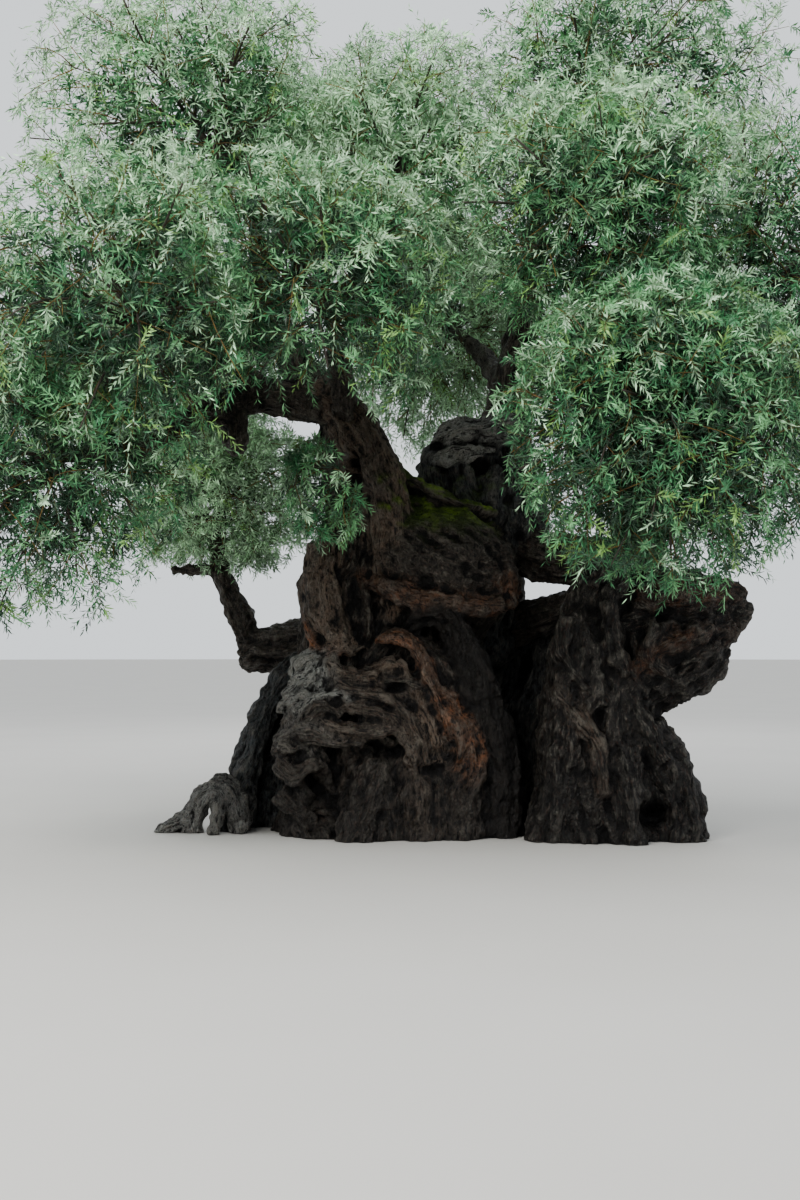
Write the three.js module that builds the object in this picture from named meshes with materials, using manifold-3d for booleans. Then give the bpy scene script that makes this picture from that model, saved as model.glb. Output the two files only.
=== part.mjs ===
// An ancient olive tree: two hollowed, twisted trunk halves on one root, heavy boughs and a full leafy crown.
// Millimetres, +Z up. The origin is on the flat ground cut, under the middle of the left trunk.
// +X is to the right as seen from the front, and -Y is the front.
import * as THREE from "three";
import { mergeVertices } from "three/addons/utils/BufferGeometryUtils.js";
import Module from "manifold-3d";

const wasm = await Module();
wasm.setup();

// Driving dimensions
const CLEARANCE = 0.4; // gap left between two solids that touch on the living tree
const MERGE = 0.001;
const BELOW = 300; // how far forms run under the ground before they are cut flat
const CUT_SPAN = 16000;
const LIMB_SIDES = 7;
const STRAND_SIDES = 6; // the smaller forms that fuse into a trunk

// Foliage: each blade stands for a spray of leaves, so it is far larger than one leaf
const TWIGS_PER_METRE = 2.6; // for each metre of a mass's mean reach, on top of the least number
const TWIGS_LEAST = 2.8;
const TWIG_RADII = [30, 24, 14];
const TWIG_RISE = 0.05; // how far a twig bows up, as a share of the mass's reach
const SPRAYS_PER_TWIG = 2;
const SPRAY_SPACING = 0.35;
const SPRAY_LENGTH = 600;
const SPRAY_SHARE = 0.75; // the most that a blade may be, as a share of its mass's mean reach
const SPRAY_WIDTH = 290;
const SPRAY_THICKNESS = 34;
const SPRAY_SINK = 0.12; // share of a blade's length that is sunk in its twig
const SPRAY_SIZES = [1, 0.75]; // a blade that doesn't fit is tried once more, smaller
const STEM_SHARES = [1, 0.85, 0.7, 0.5];
const STEM_FIT = 0.97; // a stem is a little thinner than the bough that carries it
const HEART_SHARE = 0.62;
const HEART_STEPS = 8;
const HEART_LEAST = 60;
const HEART_MARGIN = 70;
const SPACE_MARGIN = 12; // half the gap kept between two neighbouring masses
const LIMB_MARGIN = 25;
const LIMB_STEPS = 16;
const GOLDEN_TURN = Math.PI * (3 - Math.sqrt(5));

// Woody colours and finish
const BARK = new THREE.MeshStandardMaterial({ color: 0x3a2c22, roughness: 0.85, metalness: 0 });
const DEAD_WOOD = new THREE.MeshStandardMaterial({ color: 0x2a2624, roughness: 0.9, metalness: 0 });
const PALE_BARK = new THREE.MeshStandardMaterial({ color: 0x6a6258, roughness: 0.9, metalness: 0 });
const FOLIAGE = new THREE.MeshStandardMaterial({ color: 0x5f7a5c, roughness: 0.6, metalness: 0 });

// The forms that fuse into each piece of trunk. Each is a limb through a few points, with a radius at each
const LEFT_TRUNK = [
  // The heart of the trunk, fluted and leaning a little to the right
  { points: [[-20, 60, -BELOW], [-30, 50, 500], [0, 30, 1150], [140, 0, 1900]],
    radii: [880, 800, 710, 640], sides: 14, flutes: 7, depth: 0.06, twist: 1.1 },
  // The great bowl under the mossy saddle, with its overhanging chin
  { points: [[200, -60, 1750], [430, -140, 2200], [600, -170, 2500]], radii: [520, 610, 470], sides: 12 },
  { points: [[560, -300, 2300], [800, -500, 2060], [900, -580, 1880]], radii: [330, 230, 120] },
  { points: [[-120, -420, 2350], [120, -520, 2250], [420, -600, 2050]], radii: [260, 290, 210] },
  // The neck that carries the great left limb, split by a dark slot
  { points: [[-380, -120, 700], [-440, -300, 1500], [-420, -420, 2150], [-460, -450, 2750],
      [-600, -540, 3300]], radii: [460, 440, 330, 150, 130] },
  { points: [[60, -420, 1700], [-60, -580, 2350], [-170, -620, 2900], [-420, -620, 3350],
      [-720, -610, 3620]], radii: [300, 250, 215, 210, 180], sides: 9 },
  // The rope of reddish wood that arches over the front and falls to the right
  { points: [[-60, -740, 1600], [300, -790, 1790], [530, -810, 1480], [690, -760, 1060], [770, -680, 640],
      [810, -640, -BELOW]], radii: [100, 110, 130, 160, 200, 210] },
  // Folds that run across the front and turn down as roots
  { points: [[-560, -600, 1150], [-180, -760, 1220], [200, -790, 1150], [420, -780, 760], [470, -800, 200],
      [500, -860, -BELOW]], radii: [130, 150, 135, 135, 150, 180] },
  { points: [[-80, -600, 1080], [-150, -730, 620], [-290, -870, 120], [-350, -930, -BELOW]],
    radii: [160, 170, 210, 240] },
  { points: [[200, -640, 1250], [150, -770, 760], [110, -830, 280], [120, -890, -BELOW]],
    radii: [150, 130, 145, 180] },
  // The pale knotted lobe on the left
  { points: [[-480, -560, 1560], [-660, -700, 1330], [-750, -700, 900], [-720, -680, 450],
      [-640, -740, -BELOW]], radii: [160, 215, 235, 225, 250] },
  { points: [[-640, -760, 1080], [-840, -690, 760], [-850, -620, 300], [-880, -600, -BELOW]],
    radii: [120, 140, 140, 150] },
  // The shoulders that close the trunk at the back, up to the stump and the neck
  { points: [[-80, 330, 900], [40, 330, 1700], [160, 120, 2350]], radii: [430, 400, 230], sides: 8 },
  { points: [[-420, 180, 900], [-430, 120, 1700], [-430, -200, 2450]], radii: [330, 300, 180], sides: 7 },
];

const STUMP = [
  // The broken old top: a dark upright block behind the saddle
  { points: [[560, 130, 1500], [600, 160, 2500], [640, 120, 3180]], radii: [470, 500, 430], sides: 12,
    flutes: 5, depth: 0.07, twist: 0.5 },
  // Its rolled lip, which points to the left
  { points: [[130, -180, 3160], [480, -220, 3330], [860, -160, 3380], [1080, 20, 3300]],
    radii: [80, 140, 150, 110] },
  { points: [[1000, -60, 2300], [1040, -120, 2800], [900, 40, 3200]], radii: [240, 210, 200] },
];

const RIGHT_TRUNK = [
  { points: [[1600, -640, -BELOW], [1610, -620, 650], [1700, -580, 1350], [1860, -480, 2120]],
    radii: [600, 490, 490, 400], sides: 13, flutes: 6, depth: 0.07, twist: -0.8 },
  // The great burl that hangs out to the right, with two ridges
  { points: [[1850, -660, 1250], [2280, -640, 1560], [2540, -600, 1790]], radii: [400, 430, 310], sides: 11 },
  { points: [[1900, -880, 1930], [2330, -890, 1930], [2740, -700, 1960]], radii: [130, 150, 120] },
  { points: [[1820, -990, 1330], [2160, -1000, 1570], [2640, -810, 1660]], radii: [90, 110, 120] },
  // The strand along its left edge
  { points: [[1180, -860, -BELOW], [1330, -920, 650], [1400, -900, 1350], [1560, -780, 2020]],
    radii: [250, 200, 215, 190] },
  // Roots on its right foot, with a small hollow between them
  { points: [[1900, -760, 900], [2160, -820, 420], [2240, -900, -BELOW]], radii: [230, 215, 240] },
  { points: [[1700, -900, 800], [1790, -1090, 350], [1800, -1140, -BELOW]], radii: [190, 150, 150] },
  { points: [[1640, -760, 1850], [1840, -760, 2180]], radii: [300, 210] },
];

const BACK_WALL = [
  { points: [[700, 420, -BELOW], [780, 420, 900], [860, 330, 1550], [860, 250, 1900]],
    radii: [420, 360, 260, 120], sides: 8 },
  { points: [[1300, 320, -BELOW], [1280, 300, 800], [1300, 180, 1450], [1340, 60, 1750]],
    radii: [400, 330, 220, 100], sides: 8 },
];

const LEFT_SHELL = [
  // The thin charred wall that stands off the left side and runs down into a root
  { points: [[-700, 60, 1480], [-1040, -60, 1180], [-1230, -160, 760], [-1330, -250, 360],
      [-1440, -360, -BELOW]], radii: [120, 130, 120, 135, 160] },
  { points: [[-700, 180, 1250], [-1080, 90, 760], [-1220, 30, -BELOW]], radii: [170, 190, 230] },
];

const ROOT_KNUCKLE = [
  { points: [[-1330, -520, -BELOW], [-1330, -500, 180], [-1450, -450, 370], [-1610, -420, 310],
      [-1710, -440, 60], [-1740, -460, -BELOW]], radii: [115, 105, 110, 110, 100, 110] },
  { points: [[-1450, -440, 330], [-1500, -560, 130], [-1520, -620, -BELOW]], radii: [95, 95, 110] },
  { points: [[-1680, -430, 110], [-1880, -440, 40], [-2060, -450, -80]], radii: [80, 62, 45] },
];

// Root flares round the sides and back, which the front view hides
const FLARE_COUNT = 7;
const FLARE_FIRST_TURN = -0.35;
const FLARE_SPAN = 3.9;
const FLARE_TOP = 620;
for (let i = 0; i < FLARE_COUNT; i++) {
  const turn = FLARE_FIRST_TURN + (FLARE_SPAN * i) / (FLARE_COUNT - 1);
  const at = (far, up) => [far * Math.cos(turn), 50 + far * Math.sin(turn), up];
  LEFT_TRUNK.push({ points: [at(620, FLARE_TOP), at(850, 230), at(990, -BELOW)], radii: [220, 200, 230] });
}

// Boughs: one tapering limb each, from inside its parent to the foot of a mass or a smaller bough
const BOUGHS = [
  { name: "left_arm", radii: [175, 155, 120, 85],
    points: [[-560, -600, 3480], [-1180, -800, 3560], [-1520, -1200, 3330], [-1800, -1650, 3080]] },
  { name: "left_knob", radii: [95, 110, 80],
    points: [[-1330, -960, 3480], [-1310, -1010, 3220], [-1270, -1040, 3060]] },
  { name: "left_front", radii: [105, 90, 65],
    points: [[-1150, -800, 3570], [-1420, -1350, 3800], [-1680, -1750, 3760]] },
  { name: "far_left", radii: [120, 100, 80, 60],
    points: [[-1000, -740, 3600], [-1700, -560, 3900], [-2300, -420, 4080], [-2800, -380, 4130]] },
  { name: "left_leader", radii: [165, 125, 95, 65],
    points: [[-640, -600, 3480], [-1000, -560, 4120], [-1150, -600, 4650], [-1190, -680, 5080]] },
  { name: "left_inner", radii: [120, 90, 65],
    points: [[-430, -620, 3380], [-470, -1150, 3740], [-470, -1600, 3820]] },
  { name: "left_rear", radii: [110, 90, 65],
    points: [[-900, -560, 3950], [-1250, 150, 4230], [-1620, 750, 4330]] },
  { name: "top_middle", radii: [85, 70, 55],
    points: [[-1060, -570, 4330], [-720, -520, 4800], [-380, -500, 5050]] },
  { name: "top_rear", radii: [80, 65, 50],
    points: [[-1130, -590, 4560], [-1040, -60, 5060], [-860, 330, 5420]] },
  { name: "middle", radii: [235, 175, 125, 90],
    points: [[780, 60, 2980], [990, 30, 3850], [1110, -10, 4600], [1200, -80, 5420]] },
  { name: "middle_rear", radii: [115, 90, 65],
    points: [[940, 40, 3620], [820, 780, 4150], [640, 1350, 4480]] },
  { name: "right_main", radii: [270, 200, 140, 90],
    points: [[1870, -480, 2000], [2130, -340, 2850], [2420, -430, 3560], [2660, -680, 4060]] },
  { name: "right_front", radii: [130, 100, 70],
    points: [[2140, -360, 2830], [2080, -1050, 3120], [1980, -1600, 3220]] },
  { name: "right_inner", radii: [105, 80, 60],
    points: [[2340, -400, 3380], [2060, -820, 3950], [1830, -1150, 4240]] },
  { name: "far_right", radii: [115, 90, 65],
    points: [[2300, -380, 3280], [2950, -120, 3620], [3450, 80, 3780]] },
  { name: "right_rear", radii: [125, 95, 70],
    points: [[2180, -340, 2950], [2350, 350, 3650], [2440, 880, 4080]] },
  { name: "bridge", radii: [210, 200, 185, 170],
    points: [[900, -60, 2560], [1200, -170, 2330], [1480, -270, 2290], [1850, -420, 2250]] },
  { name: "link", radii: [150, 125, 130, 140],
    points: [[860, 260, 1560], [1080, 40, 1690], [1300, -140, 1800], [1640, -380, 1930]] },
  { name: "low_left", radii: [230, 225, 215, 190],
    points: [[-260, 300, 1450], [-720, 560, 1560], [-1120, 680, 1520], [-1400, 720, 1440]] },
  { name: "low_rise", radii: [120, 110, 100, 75],
    points: [[-1330, 700, 1500], [-1500, 740, 1900], [-1640, 780, 2180], [-1690, 820, 2420]] },
  { name: "low_stub", radii: [60, 55, 45],
    points: [[-1640, 780, 2180], [-1850, 760, 2240], [-2080, 740, 2230]] },
  { name: "neck_twig", radii: [60, 48, 38],
    points: [[-260, -640, 3000], [-330, -900, 3080], [-430, -1120, 3020]] },
];

// Masses of foliage: the middle and half sizes of each one's own space, and the bough that carries it
const MASSES = [
  { name: "left_front", bough: "left_front", middle: [-1890, -2500, 3850], reach: [1500, 1400, 1400] },
  { name: "left_low", bough: "left_arm", middle: [-2600, -2100, 2850], reach: [1300, 1200, 1300] },
  { name: "left_inner", bough: "left_inner", middle: [-600, -2300, 4100], reach: [1200, 1150, 1150] },
  { name: "left_top", bough: "left_leader", middle: [-1700, -900, 5800], reach: [1650, 1500, 1300] },
  { name: "left_far", bough: "far_left", middle: [-3850, -300, 4250], reach: [1450, 1600, 1500] },
  { name: "left_rear", bough: "left_rear", middle: [-2300, 1750, 4400], reach: [1750, 1650, 1550] },
  { name: "top_middle", bough: "top_middle", middle: [50, -750, 5500], reach: [1350, 1350, 1250] },
  { name: "top_rear", bough: "top_rear", middle: [-600, 1100, 6150], reach: [1550, 1450, 1150] },
  { name: "middle_rear", bough: "middle_rear", middle: [450, 2400, 4800], reach: [1600, 1550, 1500] },
  { name: "right_top", bough: "middle", middle: [1950, -300, 6300], reach: [1650, 1550, 1250] },
  { name: "right_front", bough: "right_front", middle: [1800, -2550, 3050], reach: [1250, 1200, 1300] },
  { name: "right_inner", bough: "right_inner", middle: [1450, -1950, 4750], reach: [1250, 1250, 1150] },
  { name: "right_main", bough: "right_main", middle: [3200, -1350, 4600], reach: [1550, 1500, 1450] },
  { name: "right_far", bough: "far_right", middle: [4250, 400, 3800], reach: [1400, 1500, 1450] },
  { name: "right_rear", bough: "right_rear", middle: [2650, 1900, 4650], reach: [1750, 1650, 1600] },
  { name: "low_rise", bough: "low_rise", middle: [-1650, 920, 2950], reach: [1120, 900, 850] },
  { name: "neck_front", bough: "neck_twig", middle: [-560, -1330, 2760], reach: [430, 400, 520] },
];

// A repeatable number from 0 to 1 for each whole number, so that the tree always grows the same
function chance(n) {
  const wave = Math.sin(n * 12.9898 + 4.1414) * 43758.5453;
  return wave - Math.floor(wave);
}

const vector = (p) => new THREE.Vector3(...p);
const curveThrough = (points) => new THREE.CatmullRomCurve3(points.map(vector), false, "catmullrom", 0.5);

// The radius at share u of a limb, eased between the radii given for its points
function radiusAt(radii, u) {
  const place = Math.min(u, 0.999999) * (radii.length - 1);
  const i = Math.floor(place);
  const f = place - i;
  return radii[i] + (radii[i + 1] - radii[i]) * f * f * (3 - 2 * f);
}

// A closed mesh as a solid that can be joined and cut
function solidOf(geometry) {
  geometry.deleteAttribute("normal");
  geometry.deleteAttribute("uv");
  const merged = mergeVertices(geometry, MERGE);
  return new wasm.Manifold(
    new wasm.Mesh({
      numProp: 3,
      vertProperties: merged.attributes.position.array,
      triVerts: new Uint32Array(merged.index.array),
    }),
  );
}

// A cylinder bent along a curve, with its own radius at each step, and flutes that twist as they climb
function limb({ points, radii, sides, steps = 2 * (points.length - 1), flutes = 0, depth = 0, twist = 0 },
  grow = 0) {
  const curve = curveThrough(points);
  const rings = [];
  let across = null;
  for (let k = 0; k <= steps; k++) {
    const along = curve.getTangent(k / steps);
    across ??= new THREE.Vector3(1, 0, 0).addScaledVector(along, -along.x).normalize();
    across.addScaledVector(along, -across.dot(along)).normalize();
    const reach = grow * (k === 0 ? -1 : k === steps ? 1 : 0);
    rings.push({ middle: curve.getPoint(k / steps).addScaledVector(along, reach), across: across.clone(),
      other: new THREE.Vector3().crossVectors(along, across) });
  }
  const geometry = new THREE.CylinderGeometry(1, 1, 1, sides, steps);
  const places = geometry.attributes.position;
  for (let i = 0; i < places.count; i++) {
    const u = places.getY(i) + 0.5;
    const k = Math.round(u * steps);
    const turn = Math.atan2(places.getX(i), places.getZ(i));
    const out = Math.hypot(places.getX(i), places.getZ(i));
    const ripple = 1 + depth * Math.cos(flutes * turn + twist * u * Math.PI);
    const radius = out < 0.5 ? 0 : radiusAt(radii, u) * ripple + grow;
    const p = rings[k].middle.clone().addScaledVector(rings[k].across, radius * Math.cos(turn));
    p.addScaledVector(rings[k].other, radius * Math.sin(turn));
    places.setXYZ(i, p.x, p.y, p.z);
  }
  return solidOf(geometry);
}

// The biggest body of a solid, without loose scraps and sealed hollows
function biggest(solid) {
  return solid.decompose().reduce((a, b) => (b.volume() > a.volume() ? b : a));
}

const joined = (solids) => solids.reduce((a, b) => a.add(b));
const fused = (forms, grow = 0) => joined(forms.map((form) => limb({ sides: STRAND_SIDES, ...form }, grow)));

const ground = solidOf(
  new THREE.BoxGeometry(CUT_SPAN, CUT_SPAN, CUT_SPAN).translate(0, 0, -CUT_SPAN / 2),
);

// Every woody piece is kept twice: as it is, and grown by the clearance, to cut the later ones with
const pieces = new Map();
const grown = new Map();

function addPiece(name, forms) {
  const cut = [...grown.values()].reduce((solid, cutter) => solid.subtract(cutter), fused(forms));
  pieces.set(name, biggest(cut.subtract(ground)));
  grown.set(name, fused(forms, CLEARANCE));
}

addPiece("trunk_left", LEFT_TRUNK);
addPiece("stump_block", STUMP);
addPiece("trunk_right", RIGHT_TRUNK);
addPiece("trunk_back", BACK_WALL);
addPiece("shell_left", LEFT_SHELL);
addPiece("root_knuckle", ROOT_KNUCKLE);
for (const { name, ...form } of BOUGHS) addPiece(`bough_${name}`, [{ sides: LIMB_SIDES, ...form }]);

// Points along every limb, which foliage keeps clear of
const limbPoints = [...BOUGHS, ...LEFT_TRUNK, ...STUMP, ...RIGHT_TRUNK].flatMap(({ points, radii }) => {
  const curve = curveThrough(points);
  return Array.from({ length: LIMB_STEPS + 1 }, (_, k) => ({
    at: curve.getPoint(k / LIMB_STEPS),
    radius: radiusAt(radii, k / LIMB_STEPS),
  }));
});

const clearOfLimbs = (p, room) =>
  limbPoints.every(({ at, radius }) => at.distanceTo(p) > radius + room + LIMB_MARGIN);

const sizeOf = (mass) => (mass.reach[0] + mass.reach[1] + mass.reach[2]) / 3;

// The flat walls between a mass's space and those of its neighbours
function wallsOf(mass) {
  return MASSES.filter((other) => other !== mass).map((other) => {
    const towards = vector(other.middle).sub(vector(mass.middle));
    const share = sizeOf(mass) / (sizeOf(mass) + sizeOf(other));
    return { normal: towards.clone().normalize(), limit: towards.length() * share - SPACE_MARGIN };
  });
}

// How far a mass's own space reaches from its middle in one direction
function reachAlong(mass, walls, way) {
  const round = 1 / Math.hypot(way.x / mass.reach[0], way.y / mass.reach[1], way.z / mass.reach[2]);
  return walls.reduce((far, wall) => {
    const towards = way.dot(wall.normal);
    return towards > 0 ? Math.min(far, wall.limit / towards) : far;
  }, round);
}

function insideSpace(p, mass, walls) {
  const off = p.clone().sub(vector(mass.middle));
  const far = off.length();
  return far < 1 || far < reachAlong(mass, walls, off.normalize());
}

const cornersOf = (geometry) =>
  Array.from({ length: geometry.attributes.position.count }, (_, i) =>
    new THREE.Vector3().fromBufferAttribute(geometry.attributes.position, i),
  );

// The dense heart of a mass: an uneven ball in the middle of its space, clear of every limb
function heartOf(mass, walls, seed) {
  const ball = new THREE.IcosahedronGeometry(1, 1);
  ball.deleteAttribute("normal");
  ball.deleteAttribute("uv");
  const heart = mergeVertices(ball, MERGE);
  const middle = vector(mass.middle);
  for (const [i, way] of cornersOf(heart).entries()) {
    const wanted = reachAlong(mass, walls, way) * HEART_SHARE * (0.85 + 0.3 * chance(seed * 50 + i));
    const at = (k) => middle.clone().addScaledVector(way, (wanted * k) / HEART_STEPS);
    let steps = 0;
    while (steps < HEART_STEPS && clearOfLimbs(at(steps + 1), HEART_MARGIN)) steps += 1;
    const far = Math.max((wanted * steps) / HEART_STEPS, HEART_LEAST);
    heart.attributes.position.setXYZ(i, ...middle.clone().addScaledVector(way, far));
  }
  return solidOf(heart);
}

// A pointed blade of eight faces that stands out of base, or null where it would leave the mass's space
function sprayAt(base, way, length, width, roll, mass, walls) {
  const tip = base.clone().addScaledVector(way, (1 - SPRAY_SINK) * length);
  const blade = new THREE.OctahedronGeometry(1);
  blade.scale(width / 2, SPRAY_THICKNESS / 2, length / 2);
  blade.rotateZ(roll);
  blade.translate(0, 0, (0.5 - SPRAY_SINK) * length);
  blade.applyQuaternion(new THREE.Quaternion().setFromUnitVectors(new THREE.Vector3(0, 0, 1), way));
  blade.translate(base.x, base.y, base.z);
  const inside = cornersOf(blade).every((p) => insideSpace(p, mass, walls));
  const clear = [0.35, 0.7, 1].every((f) => clearOfLimbs(base.clone().lerp(tip, f), width / 3));
  return inside && clear ? solidOf(blade) : null;
}

// One twig out of the heart, with its sprays: the first at the tip, the others turned aside below it
function growTwig(mass, walls, way, key) {
  const middle = vector(mass.middle);
  const far = reachAlong(mass, walls, way);
  const scale = Math.min(1, (SPRAY_SHARE * sizeOf(mass)) / SPRAY_LENGTH);
  const length = SPRAY_LENGTH * scale * (0.85 + 0.3 * chance(key));
  const tip = middle.clone().addScaledVector(way, Math.max(far - 0.85 * length, 0.5 * far));
  const bow = middle.clone().lerp(tip, 0.6);
  bow.z += TWIG_RISE * far;
  const points = [middle.clone().lerp(tip, 0.25), bow, tip].map((p) => p.toArray());
  const twig = curveThrough(points);
  const clear = [0.4, 0.6, 0.8, 1].every((u) => clearOfLimbs(twig.getPoint(u), TWIG_RADII[0]));
  if (!clear) return [];
  const solids = [limb({ points, radii: TWIG_RADII, sides: 3, steps: 1 })];
  for (let j = 0; j < SPRAYS_PER_TWIG; j++) {
    const base = twig.getPoint(0.98 - SPRAY_SPACING * j);
    const aside = [chance(key + 3 + j) - 0.5, chance(key + 7 + j) - 0.5, chance(key + 11 + j) - 0.7];
    const out = way.clone().addScaledVector(vector(aside).normalize(), j === 0 ? 0.25 : 1.1).normalize();
    const roll = 3 * chance(key + 15 + j);
    const tries = SPRAY_SIZES.map((size) =>
      sprayAt(base, out, length * size, SPRAY_WIDTH * scale * size, roll, mass, walls),
    );
    const fitting = tries.find((blade) => blade !== null);
    if (fitting) solids.push(fitting);
  }
  return solids;
}

// The stem that runs on from the tip of a mass's bough to the middle of its space
function stemOf(mass) {
  const bough = BOUGHS.find(({ name }) => name === mass.bough);
  const heading = curveThrough(bough.points).getTangent(1);
  const foot = vector(bough.points.at(-1));
  const middle = vector(mass.middle);
  const points = [
    foot,
    foot.clone().addScaledVector(heading, foot.distanceTo(middle) * 0.3),
    foot.clone().lerp(middle, 0.7),
    middle,
  ].map((p) => p.toArray());
  const radii = STEM_SHARES.map((share) => share * STEM_FIT * bough.radii.at(-1));
  return limb({ points, radii, sides: 5, steps: 3 });
}

// One mass: a stem, a heart, and twigs on all sides that carry sprays, cut clear of every limb
function growMass(mass, seed) {
  const walls = wallsOf(mass);
  const count = Math.round((TWIGS_PER_METRE * sizeOf(mass)) / 1000 + TWIGS_LEAST);
  const twigs = Array.from({ length: count }, (_, i) => {
    const lift = 1 - (2 * i + 1) / count;
    const turn = i * GOLDEN_TURN + seed;
    const flat = Math.sqrt(1 - lift * lift);
    const way = new THREE.Vector3(flat * Math.cos(turn), flat * Math.sin(turn), lift);
    return growTwig(mass, walls, way, seed * 1000 + i * 20);
  });
  const whole = joined([stemOf(mass), heartOf(mass, walls, seed), ...twigs.flat()]);
  return biggest([...grown.values()].reduce((solid, cutter) => solid.subtract(cutter), whole));
}

const PALE = ["root_knuckle", "shell_left"];
const DEAD = ["stump_block", "trunk_back"];
const tree = new THREE.Group();

function addMesh(name, solid, material) {
  const { numProp, numVert, vertProperties, triVerts } = solid.getMesh();
  const places = new Float32Array(numVert * 3);
  for (let i = 0; i < numVert; i++) {
    places.set(vertProperties.subarray(i * numProp, i * numProp + 3), i * 3);
  }
  const geometry = new THREE.BufferGeometry();
  geometry.setAttribute("position", new THREE.BufferAttribute(places, 3));
  geometry.setIndex(new THREE.BufferAttribute(triVerts, 1));
  const mesh = new THREE.Mesh(geometry, material);
  mesh.name = name;
  tree.add(mesh);
}

for (const [name, solid] of pieces) {
  const dead = DEAD.includes(name) ? DEAD_WOOD : BARK;
  addMesh(name, solid, PALE.includes(name) ? PALE_BARK : dead);
}
MASSES.forEach((mass, i) => addMesh(`foliage_${mass.name}`, growMass(mass, i + 1), FOLIAGE));

export default tree;
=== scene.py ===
import math
from functools import lru_cache

import bpy
import numpy as np
from bpy.props import FloatProperty, FloatVectorProperty, PointerProperty
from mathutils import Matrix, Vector


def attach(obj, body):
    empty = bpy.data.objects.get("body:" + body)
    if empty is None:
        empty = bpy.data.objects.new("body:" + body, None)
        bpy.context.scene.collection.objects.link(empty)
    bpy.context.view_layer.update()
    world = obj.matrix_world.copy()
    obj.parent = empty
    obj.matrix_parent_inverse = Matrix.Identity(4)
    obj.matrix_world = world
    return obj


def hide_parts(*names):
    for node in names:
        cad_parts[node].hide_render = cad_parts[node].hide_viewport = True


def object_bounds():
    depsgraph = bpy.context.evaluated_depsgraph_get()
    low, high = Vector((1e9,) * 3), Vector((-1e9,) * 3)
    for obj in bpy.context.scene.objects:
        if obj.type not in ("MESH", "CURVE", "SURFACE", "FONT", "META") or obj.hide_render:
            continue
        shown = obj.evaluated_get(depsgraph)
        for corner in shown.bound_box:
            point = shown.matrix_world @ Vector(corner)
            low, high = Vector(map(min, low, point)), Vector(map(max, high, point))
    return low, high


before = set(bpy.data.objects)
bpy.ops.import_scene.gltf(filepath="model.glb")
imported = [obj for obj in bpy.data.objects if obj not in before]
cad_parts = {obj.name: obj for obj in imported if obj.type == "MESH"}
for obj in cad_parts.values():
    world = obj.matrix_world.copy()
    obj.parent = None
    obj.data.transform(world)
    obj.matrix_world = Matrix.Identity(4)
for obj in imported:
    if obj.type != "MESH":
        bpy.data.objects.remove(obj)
cad_low, cad_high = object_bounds()

bl_info = {
    "name": "Ancient olive tree",
    "version": (1, 0, 0),
    "blender": (4, 5, 0),
    "location": "3D View > Sidebar > Olive tree",
    "description": "Dresses the solids of an ancient olive tree with bark, twigs and leaves",
    "category": "Object",
}


# ---- The limbs, as in the source: x, y, z and radius at each station, in millimetres -----------
MILLI = 0.001


def limb(*stations, twist=0.5, width=None, smooth=False, stain=""):
    """A limb, how fast its strands wind, how wide they are, whether it has any, and the mark it bears."""
    return dict(stations=stations, twist=twist, width=width, smooth=smooth, stain=stain)


LEFT_TRUNK = [
    limb((-20, 60, -300, 880), (-30, 50, 500, 800), (0, 30, 1150, 710), (140, 0, 1900, 640), twist=0.5,
         width=0.12),
    limb((200, -60, 1750, 520), (430, -140, 2200, 610), (600, -170, 2500, 470), twist=-1.3, width=0.07),
    limb((560, -300, 2300, 330), (800, -500, 2060, 230), (900, -580, 1880, 120), stain="rope_faint"),
    limb((-120, -420, 2350, 260), (120, -520, 2250, 290), (420, -600, 2050, 210), twist=-0.8, width=0.07),
    limb((-380, -120, 700, 460), (-440, -300, 1500, 440), (-420, -420, 2150, 330), (-460, -450, 2750, 150),
         (-600, -540, 3300, 130), twist=0.45, width=0.12),
    limb((60, -420, 1700, 300), (-60, -580, 2350, 250), (-170, -620, 2900, 215), (-420, -620, 3350, 210),
         (-720, -610, 3620, 180), twist=0.3, width=0.095, stain="warm"),
    # This strap, on the right where the trunk recedes into the hollow, bears painted shade
    limb((-60, -740, 1600, 100), (300, -790, 1790, 110), (530, -810, 1480, 130), (690, -760, 1060, 160),
         (770, -680, 640, 200), (810, -640, -300, 210), twist=0.9, stain="char"),
    limb((-560, -600, 1150, 130), (-180, -760, 1220, 150), (200, -790, 1150, 135), (420, -780, 760, 135),
         (470, -800, 200, 150), (500, -860, -300, 180), twist=0.7),
    limb((-80, -600, 1080, 160), (-150, -730, 620, 170), (-290, -870, 120, 210), (-350, -930, -300, 240),
         width=0.08, stain="pale_faint"),
    limb((200, -640, 1250, 150), (150, -770, 760, 130), (110, -830, 280, 145), (120, -890, -300, 180)),
    limb((-480, -560, 1560, 110), (-660, -700, 1330, 155), (-750, -700, 900, 175), (-720, -680, 450, 175),
         (-640, -740, -300, 215), twist=-4.5, width=0.09, stain="pale"),
    limb((-640, -760, 1080, 80), (-840, -690, 760, 100), (-850, -620, 300, 115), (-880, -600, -300, 145),
         twist=-4.0, stain="pale_faint"),
    limb((-80, 330, 900, 430), (40, 330, 1700, 400), (160, 120, 2350, 230), width=0.14),
    limb((-420, 180, 900, 330), (-430, 120, 1700, 300), (-430, -200, 2450, 180), width=0.14),
]
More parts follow.
